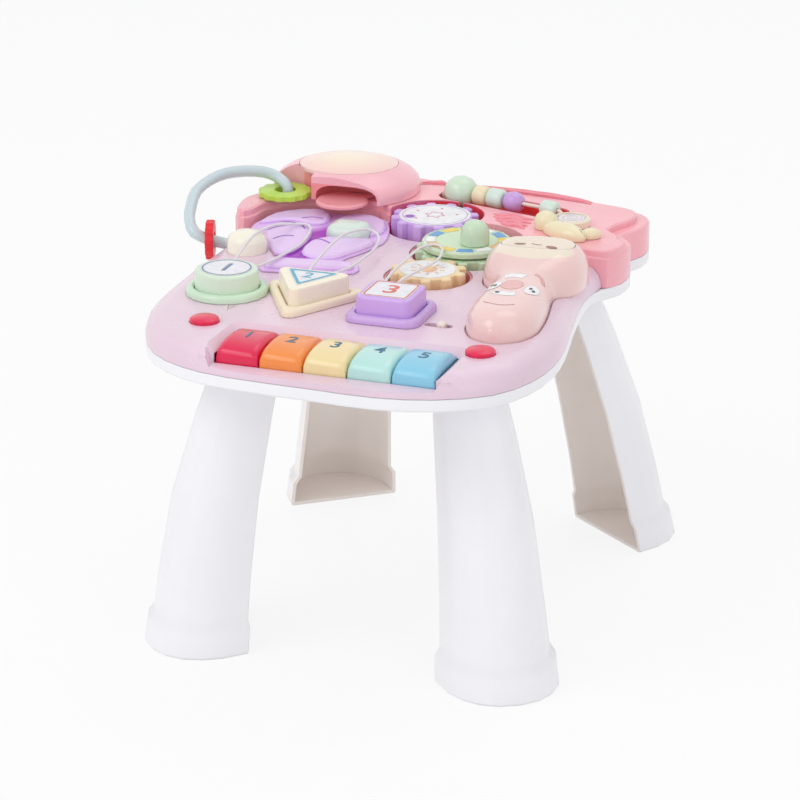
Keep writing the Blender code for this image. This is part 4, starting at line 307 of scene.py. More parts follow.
# A deep violet for the gaps between the petals: painted shade
LILAC_GAP_SHADE = (168, 36, 200)
LENS = (252, 232, 206)
LENS_EDGE = (250, 206, 200)
KEY_RED = (228, 0, 74)
KEY_ORANGE = (250, 146, 66)
KEY_CREAM = (246, 224, 168)
KEY_MINT = (188, 232, 226)
KEY_BLUE = (138, 206, 232)
HOOP = (200, 217, 222)
LIME = (192, 230, 78)
DISC_RED = (234, 10, 34)
INK = (62, 122, 150)
INK_VIOLET = (150, 96, 190)
INK_PINK = (232, 130, 160)
PRINT_WHITE = (246, 246, 249)
CELL_DARK = (52, 54, 58)
BOARD_GREEN = (46, 104, 66)
INNER_GREY = (205, 205, 208)
RECESS_ROSE = (226, 142, 160)
PADDLE_PINK = (249, 166, 174)
ROD_CREAM = (240, 226, 216)
SNAIL_CREAM = (243, 232, 196)
SEAT_COLOURS = ((208, 235, 208), (250, 234, 206), (206, 170, 230))
BLOCK_COLOURS = ((218, 238, 216), (254, 244, 222), (212, 172, 240))
BUTTON_RED = (232, 4, 74)
EGG_CREAM = (252, 248, 230)
BUTTON_MINT = (220, 235, 225)
SWITCH_CREAM = (244, 230, 220)
CREAM_WHEEL = (246, 220, 172)
LILAC_WHEEL = (214, 176, 242)
MINT_WHEEL = (208, 232, 196)
KNOB_MINT = (206, 230, 198)
BEAD_MINT = (210, 232, 208)
BEAD_CREAM = (243, 228, 192)
BEAD_VIOLET = (206, 164, 228)
SHELL_CREAM = (243, 232, 208)
STICKER_WHITE = (240, 240, 246)
INK_LILAC = (214, 184, 240)
INK_PEACH = (249, 208, 164)
FACE_WHITE = (250, 250, 252)
FACE_DARK = (58, 62, 74)
FACE_LINE = (224, 172, 170)
# A darker pink for the raised right brow: painted shade
FACE_BROW_SHADE = (234, 176, 176)
FACE_BROWN = (158, 114, 104)
FACE_BLUSH = (242, 192, 190)
# A deeper pink line beside the rear ridge: painted shade
RELIEF_PINK = (244, 146, 160)
RIDGE_SHADE_PINK = (232, 116, 134)
# Dark violet for the engraved petal lines: painted shade
PETAL_SHADE_VIOLET = (150, 92, 202)
SHELL_FACE = (238, 230, 236)
SHELL_LINE = (222, 206, 196)
SNAIL_LINE = (188, 158, 118)
NOTCH_CREAM = (250, 240, 226)
NOTCH_SHADE = (168, 134, 146)


def linear(colour):
    """A 0 to 255 colour as linear RGBA."""
    result = []
    for value in colour:
        share = value / 255
        if share <= 0.04045:
            share = share / 12.92
        else:
            share = ((share + 0.055) / 1.055) ** 2.4
        result.append(share)
    return (*result, 1.0)


class Tree:
    """Short names for building one node material."""

    def __init__(self, name):
        self.material = bpy.data.materials.new(name)
        self.material.use_nodes = True
        self.nodes = self.material.node_tree.nodes
        self.links = self.material.node_tree.links
        self.shader = self.nodes["Principled BSDF"]

    def add(self, kind, **values):
        """A new node with these settings."""
        node = self.nodes.new(kind)
        for key, value in values.items():
            setattr(node, key, value)
        return node

    def link(self, source, target):
        """Join two sockets."""
        self.links.new(source, target)

    def value(self, node, socket, value):
        """Set a socket that nothing is linked to."""
        node.inputs[socket].default_value = value

    def noise(self, scale, detail=3.0):
        """Noise in the piece's own coordinates."""
        place = self.add("ShaderNodeTexCoord")
        noise = self.add("ShaderNodeTexNoise")
        self.value(noise, "Scale", scale)
        self.value(noise, "Detail", detail)
        self.link(place.outputs["Object"], noise.inputs["Vector"])
        return noise.outputs["Fac"]

    def ranged(self, source, low, high, to_low, to_high):
        """Carry the values between two limits over to two others."""
        node = self.add("ShaderNodeMapRange")
        sockets = ("From Min", "From Max", "To Min", "To Max")
        for socket, value in zip(sockets, (low, high, to_low, to_high)):
            self.value(node, socket, value)
        self.link(source, node.inputs["Value"])
        return node.outputs["Result"]

    def mix(self, factor, first, second):
        """Blend two colours, each a constant or a socket."""
        node = self.add("ShaderNodeMix", data_type="RGBA")
        self.link(factor, node.inputs["Factor"])
        for colour, socket in ((first, node.inputs[6]), (second, node.inputs[7])):
            if isinstance(colour, tuple):
                socket.default_value = colour
            else:
                self.link(colour, socket)
        return node.outputs[2]

    def inside(self, centre, reach, top, soft):
        """One inside an upright oval below a height, and none outside it."""
        place = self.add("ShaderNodeTexCoord")
        offset = self.add("ShaderNodeVectorMath", operation="SUBTRACT")
        self.link(place.outputs["Object"], offset.inputs[0])
        self.value(offset, 1, (*centre, 0.0))
        scaled = self.add("ShaderNodeVectorMath", operation="MULTIPLY")
        self.link(offset.outputs["Vector"], scaled.inputs[0])
        self.value(scaled, 1, (1 / reach[0], 1 / reach[1], 0.0))
        length = self.add("ShaderNodeVectorMath", operation="LENGTH")
        self.link(scaled.outputs["Vector"], length.inputs[0])
        near = self.ranged(length.outputs["Value"], 1.0 - soft, 1.0, 1.0, 0.0)
        both = self.add("ShaderNodeMath", operation="MULTIPLY")
        self.link(near, both.inputs[0])
        self.link(self.ranged(self.height(), top - MASK_SOFT, top, 1.0, 0.0), both.inputs[1])
        return both.outputs["Value"]

    def edges(self):
        """A rounded normal, and how near a point is to an edge."""
        bevel = self.add("ShaderNodeBevel", samples=4)
        self.value(bevel, "Radius", EDGE_RADIUS)
        geometry = self.add("ShaderNodeNewGeometry")
        dot = self.add("ShaderNodeVectorMath", operation="DOT_PRODUCT")
        self.link(bevel.outputs["Normal"], dot.inputs[0])
        self.link(geometry.outputs["Normal"], dot.inputs[1])
        return bevel.outputs["Normal"], self.ranged(dot.outputs["Value"], *WORN_LIMITS, 0.0, 1.0)

    def height(self):
        """Height of a point in the piece's own coordinates."""
        place = self.add("ShaderNodeTexCoord")
        split = self.add("ShaderNodeSeparateXYZ")
        self.link(place.outputs["Object"], split.inputs["Vector"])
        return split.outputs["Z"]

    def bump(self, height, strength, distance, normal=None):
        """Give the shader a bumped normal, over another normal where there is one."""
        bump = self.add("ShaderNodeBump")
        self.value(bump, "Strength", strength)
        self.value(bump, "Distance", distance)
        self.link(height, bump.inputs["Height"])
        if normal is not None:
            self.link(normal, bump.inputs["Normal"])
        self.link(bump.outputs["Normal"], self.shader.inputs["Normal"])


def plastic(name, colour, roughness=0.32, gloss=0.25, spots=(), drift_share=0.975):
    """Moulded plastic: soft colour drift, coloured spots, a fine grain and paler worn edges."""
    tree = Tree(name)
    drift = tree.ranged(tree.noise(DRIFT_SCALE), 0.35, 0.65, 0.0, 1.0)
    body = tree.mix(drift, linear(colour), linear(tuple(value * drift_share for value in colour)))
    for centre, reach, top, soft, other in spots:
        body = tree.mix(tree.inside(centre, reach, top, soft), body, linear(other))
    normal, edge = tree.edges()
    pale = linear(tuple(value + (255 - value) * WORN_SHARE for value in colour))
    worn = tree.mix(edge, body, pale)
    tree.link(worn, tree.shader.inputs["Base Color"])
    smudge = tree.noise(SMUDGE_SCALE, 4.0)
    rough = tree.ranged(smudge, 0.3, 0.7, roughness - 0.06, roughness + 0.08)
    tree.link(rough, tree.shader.inputs["Roughness"])
    tree.bump(tree.noise(GRAIN_SCALE, 2.0), GRAIN, GRAIN_DEPTH, normal)
    tree.value(tree.shader, "IOR", PLASTIC_IOR)
    tree.value(tree.shader, "Coat Weight", gloss)
    tree.value(tree.shader, "Coat Roughness", COAT_ROUGHNESS)
    return tree.material


def printed(name, colour, roughness=0.38):
    """Ink or sticker film: a slight unevenness of colour and gloss."""
    tree = Tree(name)
    drift = tree.ranged(tree.noise(PRINT_DRIFT_SCALE), 0.3, 0.7, 0.0, 1.0)
    body = tree.mix(drift, linear(colour), linear(tuple(value * 0.94 for value in colour)))
    tree.link(body, tree.shader.inputs["Base Color"])
    smudge = tree.noise(PRINT_SMUDGE_SCALE)
    rough = tree.ranged(smudge, 0.3, 0.7, roughness - 0.05, roughness + 0.08)
    tree.link(rough, tree.shader.inputs["Roughness"])
    tree.bump(tree.noise(PRINT_GRAIN_SCALE, 2.0), 0.05, 0.0002)
    return tree.material


def braid(name, colour):
    """Twisted white string."""
    tree = Tree(name)
    wave = tree.add("ShaderNodeTexWave", wave_type="BANDS", bands_direction="DIAGONAL")
    place = tree.add("ShaderNodeTexCoord")
    tree.link(place.outputs["Object"], wave.inputs["Vector"])
    tree.value(wave, "Scale", BRAID_SCALE)
    tree.value(wave, "Distortion", 1.2)
    strand = wave.outputs["Fac"]
    shade = linear(tuple(value * 0.9 for value in colour))
    tree.link(tree.mix(strand, shade, linear(colour)), tree.shader.inputs["Base Color"])
    tree.link(tree.ranged(strand, 0.0, 1.0, 0.75, 0.6), tree.shader.inputs["Roughness"])
    tree.bump(strand, 0.5, 0.0003)
    return tree.material


def seen_share(tree, share):
    """A share for what the camera, mirrors and glass see, and none for the light itself."""
    path = tree.nodes.new("ShaderNodeLightPath")
    total = path.outputs["Is Camera Ray"]
    for name in ("Is Glossy Ray", "Is Transmission Ray"):
        more = tree.nodes.new("ShaderNodeMath")
        more.operation = "ADD"
        more.use_clamp = True
        tree.links.new(total, more.inputs[0])
        tree.links.new(path.outputs[name], more.inputs[1])
        total = more.outputs[0]
    scaled = tree.nodes.new("ShaderNodeMath")
    scaled.operation = "MULTIPLY"
    scaled.inputs[1].default_value = share
    tree.links.new(total, scaled.inputs[0])
    return scaled.outputs[0]


def floor_material():
    """Pale paper that the camera sees almost white, with the table's shadow on it."""
    tree = Tree("floor_paper")
    drift = tree.ranged(tree.noise(1.5), 0.3, 0.7, 0.0, 1.0)
    paper = tree.mix(drift, (0.90, 0.90, 0.905, 1.0), (0.89, 0.89, 0.895, 1.0))
    tree.link(paper, tree.shader.inputs["Base Color"])
    tree.link(tree.ranged(tree.noise(30.0), 0.3, 0.7, 0.55, 0.65), tree.shader.inputs["Roughness"])
    tree.value(tree.shader, "Specular IOR Level", 0.1)
    white = tree.add("ShaderNodeEmission")
    mix = tree.add("ShaderNodeMixShader")
    tree.link(seen_share(tree.material.node_tree, FLOOR_LIFT), mix.inputs[0])
    tree.link(tree.shader.outputs[0], mix.inputs[1])
    tree.link(white.outputs[0], mix.inputs[2])
    tree.link(mix.outputs[0], tree.nodes["Material Output"].inputs["Surface"])
    return tree.material


def add_camera():
    """The photograph's camera."""
    data = bpy.data.cameras.new("camera")
    data.lens = LENS_MM
    camera = bpy.data.objects.new("camera", data)
    scene.collection.objects.link(camera)
    aim(camera, CAMERA_PLACE)
    scene.camera = camera


def aim(thing, place):
    """Put a camera or lamp at a place, looking at the camera's target."""
    thing.location = place
    direction = Vector(CAMERA_TARGET) - Vector(place)
    thing.rotation_euler = direction.to_track_quat("-Z", "Y").to_euler()


def add_light(name, place, size, power):
    """A soft square lamp."""
    data = bpy.data.lights.new(name, "AREA")
    data.size = size
    data.energy = power
    light = bpy.data.objects.new(name, data)
    scene.collection.objects.link(light)
    aim(light, place)


def add_floor():
    """A square of floor, which isn't part of the object."""
    mesh = bpy.data.meshes.new("floor")
    half = FLOOR_HALF
    corners = [(-half, -half, 0), (half, -half, 0), (half, half, 0), (-half, half, 0)]
    mesh.from_pydata(corners, [], [(0, 1, 2, 3)])
    floor = bpy.data.objects.new("floor", mesh)
    scene.collection.objects.link(floor)
    mesh.materials.append(floor_material())


def add_world():
    """Soft light all round; the camera and mirror-like surfaces see white."""
    world = bpy.data.worlds.new("world")
    scene.world = world
    world.use_nodes = True
    tree = world.node_tree
    mix = tree.nodes.new("ShaderNodeMix")
    mix.data_type = "RGBA"
    tree.links.new(seen_share(tree, 1.0), mix.inputs["Factor"])
    mix.inputs[6].default_value = (WORLD_LIGHT, WORLD_LIGHT, WORLD_LIGHT * 1.01, 1.0)
    mix.inputs[7].default_value = (1.0, 1.0, 1.0, 1.0)
    tree.links.new(mix.outputs[2], tree.nodes["Background"].inputs["Color"])


def catmull(a, b, c, d, t):
    """Catmull-Rom interpolation between b and c."""
    square = (2 * a - 5 * b + 4 * c - d) * t**2
    cube = (3 * b - a - 3 * c + d) * t**3
    return 0.5 * (2 * b + (c - a) * t + square + cube)


def smooth_open(points, steps):
    """An open curve through the points."""
    padded = [points[0], *points, points[-1]]
    result = []
    for index in range(len(points) - 1):
        axes = list(zip(*padded[index : index + 4]))
        for step in range(steps):
            result.append(Vector([catmull(*row, step / steps) for row in axes]))
    result.append(Vector(points[-1]))
    return result


def add_strings():
    """The three white string loops, each with both ends in its block."""
    material = braid("string_cotton", STRING_WHITE)
    for index, (block, route) in enumerate(zip(BLOCK_NAMES, STRING_ROUTES)):
        points = [point + TABLE_SHIFT for point in smooth_open(route, STRING_STEPS)]
        curve = bpy.data.curves.new(f"cord_{block}", "CURVE")
        curve.dimensions = "3D"
        curve.bevel_depth = STRING_RADIUS
        curve.bevel_resolution = 3
        curve.use_fill_caps = True
        line = curve.splines.new("POLY")
        line.points.add(len(points) - 1)
        for place, point in zip(line.points, points):
            place.co = (*point, 1.0)
        curve.materials.append(material)
        cord = bpy.data.objects.new(f"cord_{block}", curve)
        scene.collection.objects.link(cord)
        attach(cord, f"block_{block}_body")
        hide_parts(f"string_loop_{index + 1}")


def soften(node, angle_deg):
    """Smooth shading between faces that meet at less than the sharp angle."""
    mesh = node.data
    if "custom_normal" in mesh.attributes:
        mesh.attributes.remove(mesh.attributes["custom_normal"])
    mesh.shade_smooth()
    weld = node.modifiers.new("weld", "WELD")
    weld.merge_threshold = WELD_DISTANCE
    split = node.modifiers.new("sharp_edges", "EDGE_SPLIT")
    split.split_angle = math.radians(angle_deg)
    split.use_edge_sharp = False
    even = node.modifiers.new("even_shading", "WEIGHTED_NORMAL")
    even.mode = "FACE_AREA"
    even.weight = 100


def paint(material, *names, angle=SHARP_ANGLE_DEG):
    """Give CAD nodes a finished material."""
    for name in names:
        mesh = nodes[name].data
        mesh.materials.clear()
        mesh.materials.append(material)
        soften(nodes[name], angle)


def paint_legs():
    """White legs; where they face each other, a paler and warmer white: painted light that
    brightens the faces in shade.
    """
    outside = plastic("leg_white", WHITE, 0.36, drift_share=WHITE_DRIFT)
    # The inner faces get a paler white: painted light that lifts their shade
    inside = plastic("leg_inside_lit", WHITE_INNER_LIT, 0.42, drift_share=0.985)
    for name in ("leg_front_left", "leg_front_right", "leg_rear_left", "leg_rear_right"):
        paint(outside, name)
        mesh = nodes[name].data
        mesh.materials.append(inside)
        low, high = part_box(name)
        inwards = -Vector(((low.x + high.x) / 2, (low.y + high.y) / 2, 0)).normalized()
        tree = surface(name)
        for face in mesh.polygons:
            start = face.center + face.normal * STICKER_LIFT
            if tree.ray_cast(start, -inwards, LEG_SPAN)[0] is not None:
                face.material_index = 1


def paint_casing():
    """The casing, the lamp tower and the fixed panels."""
    shell = plastic("white_shell", WHITE, 0.36, drift_share=WHITE_DRIFT)
    paint(shell, "bottom_tray", "battery_door")
    paint(plastic("lavender_shell", LAVENDER, 0.30), "front_cover")
    rear_spots = [
        (*EVERYWHERE, 0.2215, 0.02, PINK_DEEP),
        (*GEAR_SPOT, 0.2486, 0.05, MAGENTA),
        # The bead slot below the deck is painted deep red: painted shade
        (*BEAD_SLOT_SHADE_SPOT, SLOT_SHADE_RED),
    ]
    paint(plastic("pink_shell", PINK, 0.28, 0.35, rear_spots), "rear_cover")
    tray_spots = [(*GEAR_SPOT, 0.2480, 0.05, MAGENTA)]
    paint(plastic("recess_rose", RECESS_ROSE, 0.42, spots=tray_spots), "gear_tray")
    paint(plastic("pink_paddle", PADDLE_PINK, 0.32), "round_paddle")
    # The alcove under the dome's overhanging front is painted a deeper coral: painted shade
    paint(plastic("coral_shell", CORAL, 0.28, 0.35, [(*ALCOVE_SHADE_SPOT, ALCOVE_SHADE)]), "dome_housing")
    paint(plastic("cream_lens", LENS_EDGE, 0.22, 0.5, [(*LENS_SPOT, LENS)]), "dome_lens")
    # The gaps between the petals are painted deep violet: painted shade
    petal_spots = [(*EVERYWHERE, 0.2412, 0.02, LILAC_BASE), (*PETAL_GAP_SHADE_SPOT, LILAC_GAP_SHADE)]
    paint(plastic("petal_lilac", LILAC, 0.32, spots=petal_spots), "petal_insert")
    paint(plastic("rose_bed", ROSE, 0.42), "switch_bed")
    paint(plastic("hoop_grey", HOOP, 0.26, 0.4), "hoop_rail", angle=ROUND_ANGLE_DEG)
    paint(plastic("rod_cream", ROD_CREAM, 0.34), "bead_rod", angle=ROUND_ANGLE_DEG)
    paint(plastic("snail_cream", SNAIL_CREAM, 0.30), "snail_body", angle=ROUND_ANGLE_DEG)
    for block, colour in zip(BLOCK_NAMES, SEAT_COLOURS):
        paint(plastic(f"{block}_ring", colour, 0.30), f"block_seat_{block}")
    cells = ("battery_1", "battery_2", "battery_3")
    paint(plastic("cell_dark", CELL_DARK, 0.45), *cells, "speaker")
    paint(plastic("board_green", BOARD_GREEN, 0.55), "circuit_board")
    paint(plastic("inner_grey", INNER_GREY, 0.5), "key_bar")


def paint_toys():
    """The pieces that a child moves."""
    for index, colour in enumerate((KEY_RED, KEY_ORANGE, KEY_CREAM, KEY_MINT, KEY_BLUE)):
        paint(plastic(f"key_colour_{index + 1}", colour, 0.20, 0.25), f"key_{index + 1}")
    buttons = ("red_button_left", "red_button_right")
    paint(plastic("button_red", BUTTON_RED, 0.24, 0.2), *buttons)
    paint(plastic("egg_cream", EGG_CREAM, 0.30), "egg_button", angle=ROUND_ANGLE_DEG)
    paint(plastic("button_mint", BUTTON_MINT, 0.30), "mint_button")
    paint(plastic("switch_cream", SWITCH_CREAM, 0.34), "slide_switch")
    for block, colour in zip(BLOCK_NAMES, BLOCK_COLOURS):
        paint(plastic(f"{block}_body", colour, 0.30), f"block_{block}")
    paint(plastic("cream_wheel", CREAM_WHEEL, 0.34), "cream_gear")
    paint(plastic("lilac_wheel", LILAC_WHEEL, 0.34), "purple_gear")
    paint(plastic("mint_wheel", MINT_WHEEL, 0.34), "mint_gear")
    paint(plastic("mint_knob", KNOB_MINT, 0.36), "gear_knob", angle=ROUND_ANGLE_DEG)
    paint(plastic("blush_phone", BLUSH, 0.24, 0.6, [(*MUZZLE_SPOT, MUZZLE)]), "phone_body")
    paint(plastic("cream_muzzle", MUZZLE, 0.28, 0.4), "phone_muzzle")
    paint(plastic("bead_mint", BEAD_MINT, 0.32), "bead_ball", angle=ROUND_ANGLE_DEG)
    paint(plastic("bead_cream", BEAD_CREAM, 0.34), "bead_barrel_cream", angle=ROUND_ANGLE_DEG)
    pale_beads = ("bead_barrel_mint", "bead_tail")
    paint(plastic("bead_pale", PALE_MINT, 0.34), *pale_beads, angle=ROUND_ANGLE_DEG)
    paint(plastic("bead_violet", BEAD_VIOLET, 0.32), "bead_round_purple", angle=ROUND_ANGLE_DEG)
    paint(plastic("shell_cream", SHELL_CREAM, 0.30), "snail_shell")
    paint(plastic("ring_lime", LIME, 0.34), "green_ring")
    paint(plastic("disc_red", DISC_RED, 0.34), "red_disc")


def surface(name):
    """Search tree over a CAD node's faces."""
    mesh = nodes[name].data
    points = [vertex.co for vertex in mesh.vertices]
    return BVHTree.FromPolygons(points, [tuple(face.vertices) for face in mesh.polygons])


def grid_cuts(work):
    """Cut flat faces into cells small enough to follow a curved surface."""
    low = Vector([min(v.co[axis] for v in work.verts) for axis in range(3)])
    high = Vector([max(v.co[axis] for v in work.verts) for axis in range(3)])
    bmesh.ops.triangulate(work, faces=work.faces)
    for axis in range(2):
        normal = Vector((axis == 0, axis == 1, 0))
        for step in range(1, int((high[axis] - low[axis]) / CELL) + 1):
            parts = work.verts[:] + work.edges[:] + work.faces[:]
            place = low + normal * (step * CELL)
            bmesh.ops.bisect_plane(work, geom=parts, plane_co=place, plane_no=normal)


def top_of(tree, x, y):
    """Height of a surface under a point, or of its nearest place where it lies beside it."""
    hit = tree.ray_cast(Vector((x, y, cad_high.z + REACH)), Vector((0, 0, -1)))[0]
    if hit is None:
        hit = tree.find_nearest(Vector((x, y, cad_high.z)))[0]
    return hit.z


def add_piece(name, work, node, material):
    """Make a mesh piece that moves with a CAD node."""
    mesh = bpy.data.meshes.new(name)
    work.to_mesh(mesh)
    work.free()
    mesh.shade_smooth()
    mesh.materials.append(material)
    piece = bpy.data.objects.new(name, mesh)
    scene.collection.objects.link(piece)
    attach(piece, nodes[node]["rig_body"])
    return piece


def lay_on(name, work, node, material, layer=1):
    """Turn flat faces into a thin sticker that follows and rides on a CAD node's top surface."""
    grid_cuts(work)
    tree = surface(node)
    for vertex in work.verts:
        vertex.co.z = top_of(tree, vertex.co.x, vertex.co.y) + STICKER_LIFT * layer
    bmesh.ops.recalc_face_normals(work, faces=work.faces)
    if sum(face.normal.z for face in work.faces) < 0:
        bmesh.ops.reverse_faces(work, faces=work.faces)
    film = add_piece(name, work, node, material).modifiers.new("film", "SOLIDIFY")
    film.thickness = STICKER_THICKNESS
    film.offset = 1.0


def rib(name, points, width, rise, node, material):
    """A low rounded rib along a line on a CAD node's top surface, tapered at both ends."""
    tree = surface(node)
    line = smooth_open([(x, y, 0.0) for x, y in points], RIB_STEPS)
    work = bmesh.new()
    rows = []
    for index, point in enumerate(line):
        ahead = line[min(index + 1, len(line) - 1)] - line[max(index - 1, 0)]
        side = Vector((-ahead.y, ahead.x, 0)).normalized()
        taper = max(math.sin(math.pi * index / (len(line) - 1)), RIB_TIP) ** 0.5
        row = []
        for step in range(RIB_SIDES + 1):
            angle = math.pi * step / RIB_SIDES
            place = point + side * (math.cos(angle) * width / 2 * taper)
            place.z = top_of(tree, place.x, place.y) + math.sin(angle) * rise * taper - RIB_SINK
            row.append(work.verts.new(place))
        rows.append(row)
    for first, second in zip(rows, rows[1:]):
        for step in range(RIB_SIDES):
            work.faces.new((first[step], first[step + 1], second[step + 1], second[step]))
    work.faces.new(rows[0])
    work.faces.new(rows[-1])
    for first, second in zip(rows, rows[1:]):
        work.faces.new((first[0], second[0], second[-1], first[-1]))
    bmesh.ops.recalc_face_normals(work, faces=work.faces)
    add_piece(name, work, node, material)


def patch(points):
    """A filled flat outline."""
    work = bmesh.new()
    work.faces.new([work.verts.new((x, y, 0)) for x, y in points])
    return work


def band(outer, inner, closed=True):
    """The flat ring, or part of one, between two outlines of equal count."""
    work = bmesh.new()
    rows = [[work.verts.new((x, y, 0)) for x, y in line] for line in (outer, inner)]
    count = len(outer)
    for index in range(count if closed else count - 1):
        after = (index + 1) % count
        work.faces.new((rows[0][index], rows[0][after], rows[1][after], rows[1][index]))
    return work


def stroke(points, width):
    """A flat line of a width along open points."""
    work = bmesh.new()
    rows = []
    for index, point in enumerate(points):
        here = Vector(point)
        ahead = Vector(points[min(index + 1, len(points) - 1)]) - Vector(points[max(index - 1, 0)])
        side = Vector((-ahead.y, ahead.x)).normalized() * width / 2
        rows.append([work.verts.new((*(here + side), 0)), work.verts.new((*(here - side), 0))])
    for first, second in zip(rows, rows[1:]):
        work.faces.new((first[0], first[1], second[1], second[0]))
    return work


def ring_points(centre, radius, count=40, start=0.0, sweep=360.0):
    """Points round a circle, or along an arc of it."""
    steps = count if sweep >= 360 else count - 1
    angles = [math.radians(start + sweep * index / steps) for index in range(count)]
    return [(centre[0] + radius * math.cos(a), centre[1] + radius * math.sin(a)) for a in angles]


def centre_of(name):
    """Middle of a node's box, seen from above."""
    low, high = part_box(name)
    return ((low.x + high.x) / 2, (low.y + high.y) / 2)


def digit(text, size, place):
    """A plain number, flat, upright as seen from the front."""
    curve = bpy.data.curves.new("digit", "FONT")
    curve.body = text
    curve.size = size
    curve.align_x = "CENTER"
    curve.align_y = "CENTER"
    curve.offset = size * STROKE_SHARE
    holder = bpy.data.objects.new("digit", curve)
    scene.collection.objects.link(holder)
    bpy.context.view_layer.update()
    graph = bpy.context.evaluated_depsgraph_get()
    mesh = bpy.data.meshes.new_from_object(holder.evaluated_get(graph))
    bpy.data.objects.remove(holder)
    work = bmesh.new()
    work.from_mesh(mesh)
    bmesh.ops.translate(work, vec=Vector((place[0], place[1], 0)), verts=work.verts)
    return work


def add_key_numbers():
    """The plain numbers 1 to 5 on the keys."""
    ink = printed("ink_teal", INK)
    for number in range(1, 6):
        key = f"key_{number}"
        low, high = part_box(key)
        place = ((low.x + high.x) / 2, low.y + (high.y - low.y) * KEY_NUMBER_SHARE)
        lay_on(f"number_{number}", digit(str(number), KEY_NUMBER_SIZE, place), key, ink)


def rounded(corners, trim):
    """A closed outline with its corners rounded off."""
    points = []
    for index, corner in enumerate(corners):
        here = Vector(corner)
        before = here + (Vector(corners[index - 1]) - here).normalized() * trim
        after = here + (Vector(corners[(index + 1) % len(corners)]) - here).normalized() * trim
        for step in range(CORNER_STEPS + 1):
            t = step / CORNER_STEPS
            points.append(tuple(before * (1 - t) ** 2 + here * (2 * t * (1 - t)) + after * t**2))
    return points


def block_line(block, centre, shrink):
    """Outline of a sticker on a block, drawn in by a distance."""
    if block == "circle":
        return ring_points(centre, CIRCLE_REACH - shrink, 40)
    if block == "triangle":
        return rounded(ring_points(centre, TRIANGLE_REACH - 2 * shrink, 3, -90), TRIANGLE_TRIM)
    return rounded(ring_points(centre, SQUARE_REACH - 1.4 * shrink, 4, 45), SQUARE_TRIM)


def add_block_stickers():
    """A pale sticker with a coloured line and a plain number on each block."""
    film = printed("sticker_white", STICKER_WHITE)
    for index, block in enumerate(BLOCK_NAMES):
        ink = printed(f"ink_{block}", STICKER_INKS[index])
        node = f"block_{block}"
        low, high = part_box(node)
        centre = [(low.x + high.x) / 2, (low.y + high.y) / 2]
        if block == "triangle":
            centre[1] = high.y - (high.x - low.x) * TRIANGLE_MIDDLE_SHARE
        lay_on(f"{block}_sticker", patch(block_line(block, centre, 0.0)), node, film)
        outer = block_line(block, centre, STICKER_LINE_INSET)
        inner = block_line(block, centre, STICKER_LINE_INSET + STICKER_LINE_WIDTHS[index])
        lay_on(f"{block}_sticker_line", band(outer, inner), node, ink, 2)
        number = digit(str(index + 1), BLOCK_NUMBER_SIZES[index], centre)
        lay_on(f"{block}_number", number, node, ink, 2)


def rosette(centre, radius, depth, petals):
    """A closed flower outline."""
    points = []
    for index in range(petals * 10):
        turn = 360 * index / (petals * 10)
        reach = radius + depth * math.cos(math.radians(turn * petals))
        points.append(ring_points(centre, reach, 2, turn, 1)[0])
    return points


def ring_band(centre, radii, count, start=0.0, sweep=360.0):
    """A flat ring between two radii, or part of one."""
    outer, inner = [ring_points(centre, radius, count, start, sweep) for radius in radii]
    return band(outer, inner, sweep >= 360)


def add_purple_prints(white):
    """A pale face with a line, a flower, dots and a finger grip."""
    pink = printed("print_pink", INK_PINK)
    violet = printed("print_violet", INK_VIOLET)
    pale = printed("print_lilac", INK_LILAC)
    node = "purple_gear"
    centre = PURPLE_CENTRE
    lay_on("purple_face", patch(ring_points(centre, PURPLE_FACE_RADIUS, 60)), node, white)
    lay_on("purple_face_line", ring_band(centre, PURPLE_LINE_RADII, 60), node, pale, 2)
    outlines = [rosette(centre, *sizes, FLOWER_PETALS) for sizes in (FLOWER_OUTER, FLOWER_INNER)]
    lay_on("purple_face_flower", band(*outlines), node, pink, 2)
    for index in range(DOT_COUNT):
        middle = ring_points(centre, DOT_REACH, 2, 20 + DOT_STEP_DEG * index, 1)[0]
        dot = patch(ring_points(middle, DOT_RADIUS, 12))
        lay_on(f"purple_face_dot_{index + 1}", dot, node, pink, 2)
    grip = (centre[0] + GRIP_OFFSET[0], centre[1] + GRIP_OFFSET[1])
    lay_on("purple_grip_rim", patch(ring_points(grip, GRIP_RIM_RADIUS, 30)), node, pale, 3)
    lay_on("purple_grip", patch(ring_points(grip, GRIP_RADIUS, 30)), node, violet, 4)


def add_mint_prints():
    """A ring of coloured bars and a thin rim."""
    inks = [printed(f"print_bar_{index + 1}", colour) for index, colour in enumerate(BAR_COLOURS)]
    for index in range(BAR_COUNT):
        start = 360 / BAR_COUNT * index + BAR_START_DEG
        bar = ring_band(MINT_CENTRE, BAR_RADII, 8, start, BAR_SWEEP_DEG)
        lay_on(f"mint_bar_{index + 1}", bar, "mint_gear", inks[index % len(inks)])
    lay_on("mint_rim_line", ring_band(MINT_CENTRE, MINT_RIM_RADII, 70), "mint_gear", inks[2])


def add_cream_prints(white):
    """A pale face with a sun."""
    centre = centre_of("cream_gear")
    lay_on("cream_face", patch(ring_points(centre, CREAM_FACE_RADIUS, 50)), "cream_gear", white)
    peach = printed("print_peach", INK_PEACH)
    lay_on("cream_sun", patch(ring_points(centre, SUN_RADIUS, 30)), "cream_gear", peach, 2)
    for index in range(RAY_COUNT):
        turn = 360 / RAY_COUNT * index
        ends = [ring_points(centre, reach, 2, turn, 1)[0] for reach in RAY_ENDS]
        lay_on(f"cream_ray_{index + 1}", stroke(ends, RAY_WIDTH), "cream_gear", peach, 2)


def add_gear_prints():
    """Plain printed patterns on the three gears."""
    white = printed("print_white", PRINT_WHITE)
    add_purple_prints(white)
    add_mint_prints()
    add_cream_prints(white)


